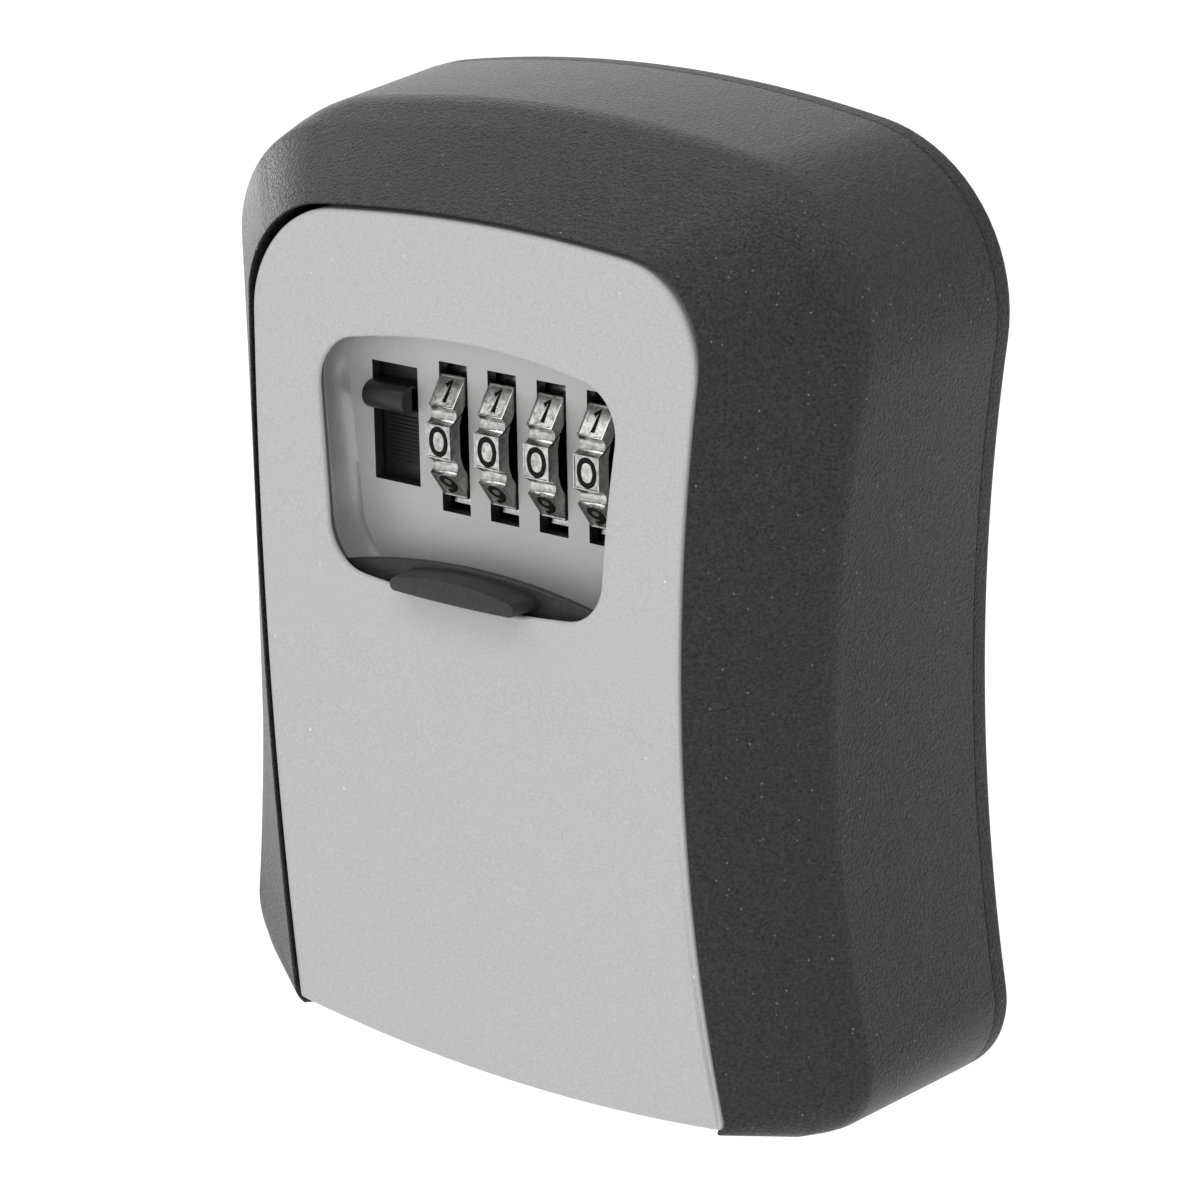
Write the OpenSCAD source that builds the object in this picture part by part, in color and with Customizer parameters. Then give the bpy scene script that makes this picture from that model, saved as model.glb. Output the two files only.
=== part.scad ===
// Wall-mounted combination key safe: waisted housing, drop-down door, four number dials,
// opening lever and a weather shutter that slides behind the bowed door skin.
// Front faces -Y, the wall plane is y = 0 and z = 0 is mid height. Depths count from the wall.

/* [Housing] */
// Overall height
body_h = 120; // [112:1:140]
// Width across the waist at the wall
waist_w = 92.6; // [91:0.2:104]
// Height of the waist
waist_z = -4; // [-8:0.5:0]
// Radius of the hollow side curve
side_r = 255; // [220:5:400]
// Radius of the arched top
top_r = 191; // [180:2:300]
// Radius of the upper corners
top_corner_r = 21; // [18:0.5:24]
// Radius of the shallow bottom arch
bottom_r = 600; // [400:10:900]
// Radius of the lower corners
bottom_corner_r = 11; // [8:0.5:13]
// Wall thickness of the casting
wall = 2.5; // [2:0.1:3]
// Thickness of the back plate
back_t = 3; // [2.5:0.1:4]
// Distance of the ridge behind the door face at mid height
ridge_back = 12.5; // [10:0.1:14]
// Radius of the ridge's own bow, flatter than the door's
ridge_bow_r = 480; // [400:10:700]
// Extra ridge distance for each millimetre of height
ridge_tilt = 0.032; // [0:0.001:0.04]
// Draft of the side walls between wall and ridge
side_draft = 2.1; // [1.6:0.1:3.2]
// Draft of the top wall between wall and ridge
top_draft = 1.3; // [1:0.1:3]
// Radius of the ridge's hollow sides
ridge_side_r = 230; // [170:5:300]
// Radius of the ridge's upper corners
ridge_corner_r = 21; // [18:0.5:24]
// Radius of the ridge's lower corners
ridge_low_r = 9; // [8:0.5:13]
// Radius of the soft ridge
ridge_r = 3.5; // [2:0.1:5]
// Bulge of the bevel between ridge and door
crown_out = 0.5; // [0:0.1:1]
// Radius of the bulge's upper corners
crown_corner_r = 13; // [12:0.5:18]
// Radius of the bulge's lower corners
crown_low_r = 6.5; // [3:0.5:8]
// Radius of the lip round the door
lip_r = 0.8; // [0.4:0.1:1]
// Depth of the lip face beside the door
lip_d = 3; // [2.6:0.1:4]

/* [Door] */
// Greatest depth of the door face from the wall
front_d = 40.5; // [39:0.5:50]
// Radius of the bow in the door face
bow_r = 325; // [280:5:500]
// Height of the bow's centre
bow_z = 1; // [-4:0.5:4]
// Height of the door's waist
door_waist_z = -10; // [-14:0.5:-4]
// Radius of the door's hollow sides
door_side_r = 630; // [500:10:900]
// Height of the rim above the door
top_rim = 12.5; // [11.5:0.1:14]
// Radius of the door's top edge
door_top_r = 230; // [180:5:300]
// Radius of the door's upper corners
door_corner_r = 12.5; // [10:0.5:14]
// Rise of the door's bottom edge above the housing's foot
door_lift = 0.6; // [0.3:0.1:1.2]
// Radius of the door's bottom edge
door_bottom_r = 220; // [180:5:260]
// Gap between door and housing
door_gap = 0.5; // [0.4:0.1:0.8]
// Thickness of the door skin
skin_t = 1.8; // [1.5:0.1:2.2]
// Thickness of the rim behind the door's edge
rim_t = 1.8; // [1.4:0.1:2.2]
// Depth of the rim behind the door's face
rim_d = 12; // [9:0.5:13]

/* [Hinge] */
// Distance of the hinge pin behind the door face's greatest depth
hinge_back = 14; // [13.5:0.1:15]
// Height of the hinge pin above the housing's foot
hinge_rise = 4.5; // [4.4:0.1:5]
// Radius of the hinge pin
pin_r = 1.5; // [1.2:0.1:1.8]
// Outer radius of the door's ears
ear_r = 3.6; // [3.2:0.1:3.8]
// Thickness of each ear
ear_w = 4; // [3:0.5:5]
// Distance between the inner faces of the ears
ear_span = 55.6; // [48:0.2:56]
// Thickness of each housing lug
lug_w = 4.5; // [3.5:0.5:5]

/* [Dial window] */
// Half width of the window at its narrowest curve
window_hw = 20.4; // [19.8:0.1:21]
// Radius of the window's sides
window_side_r = 290; // [250:5:400]
// Height of the window's top edge
window_top = 33.6; // [33.2:0.1:35]
// Radius of the window's top edge
window_top_r = 96; // [90:1:140]
// Height of the window's bottom edge
window_bottom = 2.8; // [2:0.1:2.9]
// Radius of the window's bottom edge
window_bottom_r = 150; // [140:5:200]
// Radius of the window's corners
window_corner_r = 6; // [4:0.5:7]

/* [Dials] */
// Distance of the dial plate's face behind the door face
plate_back = 7.5; // [7:0.1:8.5]
// Thickness of the dial plate
plate_t = 1.5; // [1.2:0.1:1.8]
// Distance of the dial axis behind the dial plate's face
dial_sink = 6.8; // [6.6:0.1:7.5]
// Height of the dial axis
dial_z = 20.3; // [19.5:0.1:21]
// Middle of the row of dials
dial_mid_x = 4.25; // [3.5:0.05:4.5]
// Distance between dials
dial_pitch = 7.5; // [7.3:0.1:7.8]
// Width of a dial wheel
dial_w = 3.8; // [3.4:0.1:4]
// Distance from the dial axis to a number land
dial_flat = 9.8; // [9.2:0.1:10]
// Radius of the groove between two lands
groove_r = 1.1; // [1:0.1:1.5]
// Radius of the code sleeve in the wheel
sleeve_r = 3.6; // [3.4:0.1:3.8]
// Radius of the dial shaft
shaft_r = 2; // [1.6:0.1:2.4]

/* [Lever and latch] */
// Width of the lever's slot
lever_slot_w = 7.1; // [6.8:0.1:7.4]
// Lower end of the lever's slot
lever_slot_low = 13.2; // [13:0.1:14.5]
// Upper end of the lever's slot
lever_slot_top = 27.7; // [27.4:0.1:28.2]
// Height of the lever's thumb ledge
ledge_h = 3.4; // [3:0.1:4]
// Upper side of the thumb ledge
ledge_top = 25.6; // [25.2:0.1:26.2]
// Distance the thumb ledge stands out of the dial plate
ledge_out = 2.5; // [2.2:0.1:3]
// Travel of the lever
lever_travel = 8; // [6:0.5:8]
// Thickness of the latch plate
latch_t = 1.5; // [1.2:0.1:1.8]
// Width of the latch tongue
tongue_w = 16; // [12:0.5:20]
// Overlap of the tongue behind the strike
tongue_hold = 4.5; // [3:0.5:5]
// Thickness of the strike plate
strike_t = 1.5; // [1.2:0.1:2]
// Wire radius of the latch spring
wire_r = 0.3; // [0.2:0.05:0.35]
// Mean radius of the latch spring
coil_r = 1.6; // [1.4:0.1:1.8]
// Turns of the latch spring
coil_turns = 9; // [7:1:10]

/* [Shutter] */
// Thickness of the shutter
shutter_t = 1.1; // [0.9:0.1:1.2]
// Width of the shutter, which sets the width of the door
shutter_w = 50.4; // [49:0.2:53]
// Height of the shutter
shutter_h = 33; // [32.5:0.5:36]
// Top of the shutter when it is open
shutter_top = 6.5; // [6.4:0.1:7.5]
// Radius of the shutter's top edge
shutter_top_r = 90; // [80:1:110]
// Length of the grip bar
grip_w = 20.4; // [16:0.2:22]
// Height of the grip bar
grip_h = 2.7; // [2.4:0.1:2.8]
// Distance of the grip bar in front of the door face
grip_out = 1.9; // [1:0.1:2.5]

/* [Mechanism cover] */
// Wall thickness of the cover
cover_t = 1.5; // [1.2:0.1:1.8]
// Distance of the cover's top below the door's top edge
cover_drop = 3.5; // [3.2:0.1:5]
// Lower side of the cover
cover_low = -3.5; // [-6:0.1:-3.2]
// Travel of the reset lever
reset_travel = 6; // [4:0.5:6]

/* [Fasteners] */
// Spacing of the wall holes across
wall_hole_x = 60; // [50:1:66]
// Spacing of the wall holes up
wall_hole_z = 80; // [60:1:84]
// Radius of a wall hole
wall_hole_r = 2.5; // [2:0.1:3]
// Radius of the screws that hold the back plate, cover and strike
screw_r = 1.1; // [0.9:0.1:1.3]
// Radius of a screw head
head_r = 2; // [1.8:0.1:2.2]

/* [Fits] */
// Radial clearance of a turning fit
turn_fit = 0.05; // [0.02:0.01:0.1]
// Clearance of a sliding fit
slide_fit = 0.3; // [0.25:0.05:0.4]
// Radial clearance of a screw or pin in its seat
seat_fit = 0.02; // [0.01:0.01:0.05]

/* [Hidden] */
$fn = 64;
half_h = body_h / 2;
far = 2 * body_h;
over = 1;
hair = 0.01;
flat_steps = 4;
corner_steps = 10;
side_steps = 8;
ridge_steps = 4;
lip_steps = 3;

// Depths from the wall, front to back
bow_axis_d = front_d - bow_r;
lip_low = 0.75;
ridge_turn = 45;
lip_proud = lip_r * sqrt(2) - lip_low;
shutter_face = skin_t + slide_fit;
shutter_rear = shutter_face + shutter_t;
tray_face = shutter_rear + slide_fit;
plate_d = front_d - plate_back;
plate_rear = plate_d - plate_t;
dial_d = plate_d - dial_sink;
lands = 10;
half_land = 180 / lands;
groove_in = 0.2;
land_half = dial_flat * tan(half_land) - groove_in * sin(half_land)
    - sqrt(pow(groove_r, 2) - pow(groove_in * cos(half_land), 2));
dial_r = norm([dial_flat, land_half]);
wheel_gap = 0.7;
fence_t = 1.4;
fence_d = dial_d - dial_r - wheel_gap;
latch_d = fence_d - fence_t;
latch_rear = latch_d - latch_t;
latch_gap = 0.7;
cover_inner = latch_rear - latch_gap;
cover_rear = cover_inner - cover_t;

// Dials, shaft and lever across the door
hub_left = dial_pitch / 2;
hub_step = 0.4;
hub_r = sleeve_r - hub_step;
code_r = dial_sink - plate_t - slide_fit;
disc_t = 1.4;
disc_play = 0.15;
disc_in = dial_w / 2 + disc_play;
disc_out = disc_in + disc_t;
notch_r = sleeve_r + hub_step;
side_recess = 0.6;
dial_rim = 2.9;
recess_r = dial_flat - dial_rim;
first_x = dial_mid_x - 1.5 * dial_pitch;
last_x = dial_mid_x + 1.5 * dial_pitch;
cheek_t = 1.4;
cheek_left = first_x - hub_left - slide_fit;
cheek_right = last_x + disc_out + slide_fit;
cheek_wall = 2;
cheek_r = shaft_r + cheek_wall;
shaft_head_t = 1.2;
shaft_head_r = shaft_r + shaft_head_t;
shaft_end = cheek_right + cheek_t + shaft_head_t;
slot_gap = 0.25;
slot_end = 0.45;
slot_drop = 0.45;
slot_half_h = sqrt(pow(dial_r, 2) - pow(plate_rear - dial_d, 2)) + slot_end;
lever_gap = 0.5;
lever_x1 = cheek_left - cheek_t - lever_gap;
lever_x0 = lever_x1 - lever_slot_w + 2 * slide_fit;
stem_w = 3.8;
stem_x1 = lever_x0 + stem_w;
stem_h = 6.1;
stem_low = ledge_top - stem_h;
slider_t = 1.5;
slider_side = 0.6;
slider_d = plate_rear - slide_fit;
slider_tail = 6.5;
slider_low = lever_slot_low - slider_tail;
slider_lap = 0.8;
slider_top = lever_slot_top + lever_travel + slider_lap;
joint_in = 0.5;
tray_in = 1.4;
tray_out = 3;
leaf_t = 0.4;
leaf_w = 3;
leaf_h = 5;
tooth_r = 0.6;
cover_room = 0.8;
cover_hw = max(shaft_end, slider_side - lever_x0) + cover_room + cover_t;

// Across the door: the shutter or the cover, a screw boss beside it, the screw's head and the rim
boss_gap = 0.5;
boss_wall = 1.1;
boss_r = screw_r + boss_wall;
head_gap = 0.4;
boss_x = max(shutter_w / 2 + boss_gap + boss_r, cover_hw + head_gap + head_r);
door_waist_w = 2 * (boss_x + head_r + head_gap + rim_t);

// Outlines seen from the front: half waist, waist height, side radius, top, top radius,
// upper corner, bottom, bottom radius, lower corner
door_top = half_h - top_rim;
door_foot = door_lift - half_h;
door_foot_r = 0.8;
lip_foot_r = 2;
lip_square = 1.2;
crown_at = 0.71;
crown_foot = 0.5;
least_r = 0.2;
back_line = [waist_w / 2, waist_z, side_r, half_h, top_r, top_corner_r, -half_h, bottom_r, bottom_corner_r];
ridge_line = [
    waist_w / 2 - side_draft, waist_z, ridge_side_r, half_h - top_draft, top_r, ridge_corner_r,
    door_foot, bottom_r, ridge_low_r
];
door_line = [
    door_waist_w / 2, door_waist_z, door_side_r, door_top, door_top_r, door_corner_r,
    door_foot, door_bottom_r, door_foot_r
];
lip_line = [
    door_waist_w / 2 + door_gap, door_waist_z, door_side_r - door_gap, door_top + door_gap,
    door_top_r + door_gap, door_corner_r - lip_square, door_foot - door_gap, door_bottom_r + door_gap,
    lip_foot_r
];
bevel_line = lip_line + crown_at * (ridge_line - lip_line);
crown_line = [
    bevel_line[0] + crown_out, bevel_line[1], bevel_line[2], bevel_line[3] + crown_out, bevel_line[4],
    crown_corner_r, crown_foot - half_h, bottom_r, crown_low_r
];
lip_inner_line = [for (i = [0:8]) lip_line[i] + (i == 6 ? wall : 0)];
foot_line = [for (i = [0:8]) lip_line[i] + (i == 0 ? slide_fit : i == 6 ? -half_h / 4 : 0)];
window_line = [
    window_hw, door_waist_z, window_side_r, window_top, window_top_r, window_corner_r,
    window_bottom, window_bottom_r, window_corner_r
];

// Hinge
hinge_d = front_d - hinge_back;
hinge_z = hinge_rise - half_h;
ear_gap = 0.4;
ear_swing = 1.4;
ear_in = ear_span / 2;
ear_out = ear_in + ear_w;
lug_in = ear_out + ear_gap;
lug_out = lug_in + lug_w;
lug_floor = 0.6;
lug_low = hinge_z - pin_r - lug_floor;
lug_nose = 0.8;
lug_front = hinge_d + pin_r + lug_nose;
floor_front = hinge_d + hinge_rise;
ear_clear = 1.5;
foot_cut_top = hinge_z + ear_r + ear_clear;
rim_clear = 0.5;
rim_foot = hinge_z + 2 * ear_r + rim_clear;

// Mechanism cover
cover_top = door_top - cover_drop;
cover_corner_r = 3;
tab_t = 1.5;
tab_wall = 1.2;
tab_r = head_r + tab_wall;
pan_t = 1.3;
boss_rise = 2.5;
boss_low = cover_low + boss_rise;
boss_drop = 7;
boss_top = cover_top - boss_drop;
boss_screw = 3;
seat_drop = 3.2;
seat_z = slider_low - seat_drop;
seat_t = 1.5;
peg_r = 1.5;
peg_x = -lever_x1;
peg_drop = 2;
peg_z = dial_z - peg_drop;
plate_lap = 1.5;
plate_low = cover_low - plate_lap;
grip_rise = 0.45;
rail_x = shutter_w / 2 + slide_fit;
rail_t = 1.2;
rail_tail = 2;
rail_low = shutter_top - shutter_h - rail_tail;
rail_lip_t = 0.9;
rail_lip_w = 1.8;

// Latch, strike and spring
slot_wall = 2.5;
slot_r = peg_r + slide_fit;
latch_low = peg_z - peg_r - slot_wall;
latch_shoulder = peg_z + lever_travel + peg_r + slot_wall;
latch_hw = -lever_x0;
latch_corner_r = 1.5;
strike_gap = 2;
strike_low = cover_top + strike_gap;
tongue_top = strike_low + tongue_hold;
strike_over = 4.5;
strike_top = tongue_top + strike_over;
strike_side = 2.5;
strike_hw = tongue_w / 2 + strike_side;
strike_play = 0.4;
strike_d = latch_d + strike_play;
rib_d = strike_d + strike_t;
rib_t = 6;
screw_edge = 0.8;
strike_screw_x = strike_hw - head_r - screw_edge;
strike_screw_z = strike_top - head_r - screw_edge;
finger_w = 1.1;
fence_rise = 5.5;
fence_low = dial_z + fence_rise;
fence_drop = 1;
fence_top = latch_shoulder - fence_drop;
spring_x = (lever_x0 + stem_x1) / 2;
spring_d = (cover_inner + slider_d) / 2;
spring_low = seat_z + seat_t + wire_r;
spring_top = stem_low - wire_r;
coil_sides = 8;
wire_sides = 6;
spring_pitch = (spring_top - spring_low) / coil_turns;

// Reset lever on the rear of the cover
reset_x = 10;
reset_rise = 11;
reset_z = dial_z + reset_rise;
reset_w = 7;
reset_h = 8;
reset_t = 1.2;
reset_play = 0.1;
reset_neck_w = 2;
reset_neck_h = 3;
reset_knob = 1.5;
reset_foot_t = 0.35;
reset_foot_h = 5.2;

// Places of the back plate's screws, seated in the casting's corners
bore_spare = 1;
plate_boss_r = head_r + tab_wall;
plate_boss_l = 10;
plate_boss_bite = 0.8;
plate_screws = [
    for (s = [-1, 1], q = [corner_seat(back_line, 1), corner_seat(back_line, -1)]) [s * q[0], q[1]]
];

// Depth of the bowed door face at a height
function face_d(z) = bow_axis_d + sqrt(pow(bow_r, 2) - pow(z - bow_z, 2));

// Crossing of two circles, on the side given by s
function meet(a, ra, b, rb, s) =
    let (v = b - a, d = norm(v), t = (ra * ra - rb * rb + d * d) / (2 * d), h = sqrt(ra * ra - t * t))
    a + v * t / d + s * h * [-v[1], v[0]] / d;

function bearing(a, b) = atan2(b[1] - a[1], b[0] - a[0]);

// Points of an arc after its first
function arc(c, r, a0, a1, n) = [for (i = [1:n]) let (a = a0 + (a1 - a0) * i / n) c + r * [cos(a), sin(a)]];

function side_centre(o) = [o[0] + o[2], o[1]];
function top_corner(o) = meet([0, o[3] - o[4]], o[4] - o[5], side_centre(o), o[2] + o[5], 1);
function low_corner(o) = meet([0, o[6] + o[7]], o[7] - o[8], side_centre(o), o[2] + o[8], -1);

// Right half of an outline, from the bottom middle to the top middle
function half_line(o) =
    let (
        side = side_centre(o),
        top = [0, o[3] - o[4]],
        low = [0, o[6] + o[7]],
        ct = top_corner(o),
        cb = low_corner(o),
        z0 = cb[1] + o[8] * sin(bearing(cb, side)),
        z1 = ct[1] + o[5] * sin(bearing(ct, side))
    )
    concat(
        [[0, o[6]]],
        arc(low, o[7], -90, bearing(low, cb), flat_steps),
        arc(cb, o[8], bearing(low, cb), bearing(cb, side), corner_steps),
        [
            for (i = [1:side_steps]) let (z = z0 + (z1 - z0) * i / side_steps)
                [side[0] - sqrt(o[2] * o[2] - pow(z - side[1], 2)), z]
        ],
        arc(ct, o[5], bearing(ct, side), bearing(top, ct), corner_steps),
        arc(top, o[4], bearing(top, ct), 90, flat_steps)
    );

function outline(o) =
    let (h = half_line(o))
    concat(h, [for (i = [len(h) - 2:-1:1]) [-h[i][0], h[i][1]]]);

// The same outline drawn in by d all round
function inset(o, d) =
    [o[0] - d, o[1], o[2] + d, o[3] - d, o[4] - d, o[5] - d, o[6] + d, o[7] - d, max(o[8] - d, least_r)];

// Seat of a screw boss against the wall in an upper (s = 1) or lower (s = -1) corner
function corner_seat(o, s) =
    let (c = s > 0 ? top_corner(o) : low_corner(o), r = s > 0 ? o[5] : o[8])
    c + (r - wall - plate_boss_r + plate_boss_bite) * [cos(45), s * sin(45)];

function unit(v) = v / norm(v);

// Round of radius r at b between the directions to a and c
function fillet(a, b, c, r, n) =
    let (
        u = unit(a - b), v = unit(c - b), half = acos(u * v) / 2,
        k = b + unit(u + v) * r / sin(half), turn = 180 - 2 * half,
        e0 = (b + u * r / tan(half) - k) / r, e1 = (b + v * r / tan(half) - k) / r
    )
    [for (i = [0:n]) k + r * (sin(turn * (1 - i / n)) * e0 + sin(turn * i / n) * e1) / sin(turn)];

function place(q, d) = [q[0], -d, q[1]];
function ridge_d(z) = front_d - ridge_back - ridge_tilt * z - ridge_bow_r
    + sqrt(pow(ridge_bow_r, 2) - pow(z - bow_z, 2));
function crown_d(z) = (1 - crown_at) * (face_d(z) + lip_proud) + crown_at * ridge_d(z);
function dial_x(i) = first_x + i * dial_pitch;

// Outward direction and middle of the spring's wire at step k
function coil_out(k) = [cos(360 * k / coil_sides), -sin(360 * k / coil_sides), 0];
function coil_mid(k) =
    [spring_x, -spring_d, spring_low + spring_pitch * k / coil_sides] + coil_r * coil_out(k);

// Closed rings of points, joined into one skin all the way round
module ring_skin(rings) {
    m = len(rings);
    n = len(rings[0]);
    polyhedron(
        points = [for (ring = rings) each ring],
        faces = [
            for (k = [0:m - 1], i = [0:n - 1])
                let (j = (i + 1) % n, a = k * n, b = (k + 1) % m * n)
                each i < n / 2
                    ? [[a + i, b + i, a + j], [a + j, b + i, b + j]]
                    : [[a + i, b + i, b + j], [a + i, b + j, a + j]]
        ]
    );
}

// A piece and its mirror image across the middle
module both_sides() {
    children();
    mirror([1, 0, 0]) children();
}

// Front-view shape between two depths
module slab(d0, d1) {
    translate([0, -d0, 0]) rotate([90, 0, 0]) linear_extrude(d1 - d0) children();
}

// Box between two corners given as across, depth and height
module block(x0, x1, d0, d1, z0, z1) {
    translate([x0, -d1, z0]) cube([x1 - x0, d1 - d0, z1 - z0]);
}

module rod_x(x0, x1, r, d, z) {
    translate([x0, -d, z]) rotate([0, 90, 0]) cylinder(h = x1 - x0, r = r);
}

module rod_y(d0, d1, r, x, z) {
    translate([x, -d0, z]) rotate([90, 0, 0]) cylinder(h = d1 - d0, r = r);
}

// Everything behind the bowed face, less an offset
module behind_face(offset_in) {
    translate([-half_h, -bow_axis_d, bow_z]) rotate([0, 90, 0])
        cylinder(h = body_h, r = bow_r - offset_in, $fn = 360);
}

module bowed(from, to) {
    difference() {
        behind_face(from);
        behind_face(to);
    }
}

module rounded(x0, x1, z0, z1, r) {
    translate([x0 + r, z0 + r]) circle(r);
    translate([x1 - r, z0 + r]) circle(r);
    translate([x0 + r, z1 - r]) circle(r);
    translate([x1 - r, z1 - r]) circle(r);
    translate([x0 + r, z0]) square([x1 - x0 - 2 * r, z1 - z0]);
    translate([x0, z0 + r]) square([x1 - x0, z1 - z0 - 2 * r]);
}

// Countersunk screw driven from its head at depth d0 towards the front
module flat_screw(x, z, d0, length, play = 0) {
    cone = head_r - screw_r;
    translate([x, -d0, z]) rotate([90, 0, 0]) cylinder(h = cone, r1 = head_r + play, r2 = screw_r + play);
    rod_y(d0 + cone / 2, d0 + length, screw_r + play, x, z);
}

module housing_shell() {
    back = [for (q = outline(back_line)) place(q, back_t)];
    ridge = [for (q = outline(ridge_line)) place(q, ridge_d(q[1]))];
    crown = [for (q = outline(crown_line)) place(q, crown_d(q[1]))];
    lip = [for (q = outline(lip_line)) place(q, face_d(q[1]) + lip_proud)];
    lip_in = [for (q = outline(lip_inner_line)) place(q, face_d(q[1]) - lip_d)];
    step_in = wall * tan(ridge_turn / 2);
    ridge_in = [for (q = outline(inset(ridge_line, wall))) place(q, ridge_d(q[1]) - step_in)];
    back_in = [for (q = outline(inset(back_line, wall))) place(q, back_t)];
    n = len(back);
    soft_ridge = [for (i = [0:n - 1]) fillet(back[i], ridge[i], crown[i], ridge_r, ridge_steps)];
    soft_lip = [for (i = [0:n - 1]) fillet(crown[i], lip[i], lip_in[i], lip_r, lip_steps)];
    ring_skin(concat(
        [back],
        [for (k = [0:ridge_steps]) [for (i = [0:n - 1]) soft_ridge[i][k]]],
        [crown],
        [for (k = [0:lip_steps]) [for (i = [0:n - 1]) soft_lip[i][k]]],
        [lip_in, ridge_in, back_in]
    ));
}

module housing() color("#3c3c3c") difference() {
    union() {
        housing_shell();
        for (q = plate_screws) rod_y(back_t, back_t + plate_boss_l, plate_boss_r, q[0], q[1]);
        both_sides() {
            intersection() {
                rod_x(lug_in, lug_out, ear_r, hinge_d, hinge_z);
                block(0, far, 0, far, hinge_z - pin_r / 2, half_h);
            }
            block(lug_in, lug_out, hinge_d - ear_r, lug_front, lug_low, hinge_z);
        }
        block(-strike_hw, strike_hw, rib_d, rib_d + rib_t, strike_low, half_h - top_draft - wall / 2);
    }
    intersection() {
        slab(floor_front, 2 * front_d) polygon(outline(foot_line));
        block(-far, far, 0, far, -far, foot_cut_top);
    }
    both_sides() {
        block(ear_in - ear_gap, ear_out + ear_gap, hinge_d - ear_r - ear_swing, far, -far, foot_cut_top);
        rod_y(rib_d - over, rib_d + rib_t - bore_spare, screw_r + seat_fit, strike_screw_x, strike_screw_z);
    }
    rod_x(-lug_out - over, lug_out + over, pin_r + seat_fit, hinge_d, hinge_z);
    for (q = plate_screws)
        rod_y(back_t - over, back_t + plate_boss_l - bore_spare, screw_r + seat_fit, q[0], q[1]);
}

module back_plate() color("#4a4a4a") difference() {
    slab(0, back_t) polygon(outline(back_line));
    for (sx = [-1, 1], sz = [-1, 1])
        rod_y(-over, back_t + over, wall_hole_r, sx * wall_hole_x / 2, sz * wall_hole_z / 2);
    for (q = plate_screws) flat_screw(q[0], q[1], 0, back_t + over, seat_fit);
}

module back_plate_screws() color("#8a8a8a")
    for (q = plate_screws) flat_screw(q[0], q[1], 0, back_t + plate_boss_l - 3 * bore_spare);

module strike_plate() color("#9a9a9a") difference() {
    slab(strike_d, rib_d) rounded(-strike_hw, strike_hw, strike_low, strike_top, latch_corner_r);
    both_sides() flat_screw(strike_screw_x, strike_screw_z, strike_d, strike_t + over, seat_fit);
}

module strike_screws() color("#8a8a8a")
    both_sides() flat_screw(strike_screw_x, strike_screw_z, strike_d, strike_t + rib_t - 3 * bore_spare);

module hinge_pin() color("#a8a8a8") rod_x(-lug_out, lug_out, pin_r, hinge_d, hinge_z);

module door_panel() color("#c3c3c3") difference() {
    union() {
        intersection() {
            slab(front_d / 2, 2 * front_d) polygon(outline(door_line));
            bowed(0, skin_t);
        }
        intersection() {
            slab(front_d - rim_d, 2 * front_d) difference() {
                polygon(outline(door_line));
                polygon(outline(inset(door_line, rim_t)));
            }
            behind_face(skin_t / 2);
            block(-far, far, 0, far, rim_foot, far);
        }
        both_sides() {
            intersection() {
                union() {
                    for (z = [boss_low, boss_top]) rod_y(plate_d, front_d, boss_r, boss_x, z);
                    rod_x(ear_in, ear_out, ear_r, hinge_d, hinge_z);
                    block(ear_in, ear_out, hinge_d, front_d, hinge_z - ear_r / 2, hinge_z + ear_r);
                }
                behind_face(skin_t / 2);
            }
            shutter_rail();
        }
    }
    slab(front_d / 2, 2 * front_d) polygon(outline(window_line));
    both_sides() for (z = [boss_low, boss_top])
        rod_y(plate_d - over, plate_d + boss_screw + bore_spare / 2, screw_r + seat_fit, boss_x, z);
    rod_x(-far, far, pin_r + turn_fit, hinge_d, hinge_z);
}

// Guide for the shutter's right edge, with a lip behind the shutter below the dial plate
module shutter_rail() {
    intersection() {
        block(rail_x, rail_x + rail_t, 0, front_d, rail_low, window_top);
        bowed(skin_t / 2, shutter_rear);
    }
    intersection() {
        block(rail_x, rail_x + rail_t, 0, front_d, rail_low, plate_low - over);
        bowed(skin_t / 2, tray_face + rail_lip_t);
    }
    intersection() {
        block(rail_x - rail_lip_w, rail_x + rail_t, 0, front_d, rail_low, plate_low - over);
        bowed(tray_face, tray_face + rail_lip_t);
    }
}

module dial_plate() color("#b4b4b4") difference() {
    union() {
        intersection() {
            slab(plate_rear, plate_d) polygon(outline(inset(door_line, rim_t + slide_fit)));
            block(-far, far, 0, far, plate_low, cover_top);
        }
        intersection() {
            slab(plate_d - joint_in, front_d) difference() {
                polygon(outline(inset(window_line, -tray_out)));
                polygon(outline(inset(window_line, -tray_in)));
            }
            behind_face(tray_face);
        }
        shaft_cheek(cheek_left - cheek_t);
        shaft_cheek(cheek_right);
    }
    for (i = [0:3])
        block(dial_x(i) - dial_w / 2 - slot_gap, dial_x(i) + dial_w / 2 + slot_gap,
            plate_rear - over, plate_d + over, dial_z - slot_half_h - slot_drop, dial_z + slot_half_h);
    block(lever_x0 - slide_fit, lever_x1 + slide_fit, plate_rear - over, plate_d + over,
        lever_slot_low, lever_slot_top);
    rod_x(-far, far, shaft_r + seat_fit, dial_d, dial_z);
    both_sides() for (z = [boss_low, boss_top])
        rod_y(plate_rear - over, plate_d + over, screw_r + seat_fit, boss_x, z);
}

// Ear behind the dial plate that carries one end of the shaft
module shaft_cheek(x) {
    rod_x(x, x + cheek_t, cheek_r, dial_d, dial_z);
    block(x, x + cheek_t, dial_d, plate_rear + joint_in, dial_z - cheek_r, dial_z + cheek_r);
}

module dial_shaft() color("#a8a8a8") {
    rod_x(cheek_left - cheek_t, shaft_end - shaft_head_t / 2, shaft_r, dial_d, dial_z);
    rod_x(shaft_end - shaft_head_t, shaft_end, shaft_head_r, dial_d, dial_z);
}

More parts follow.
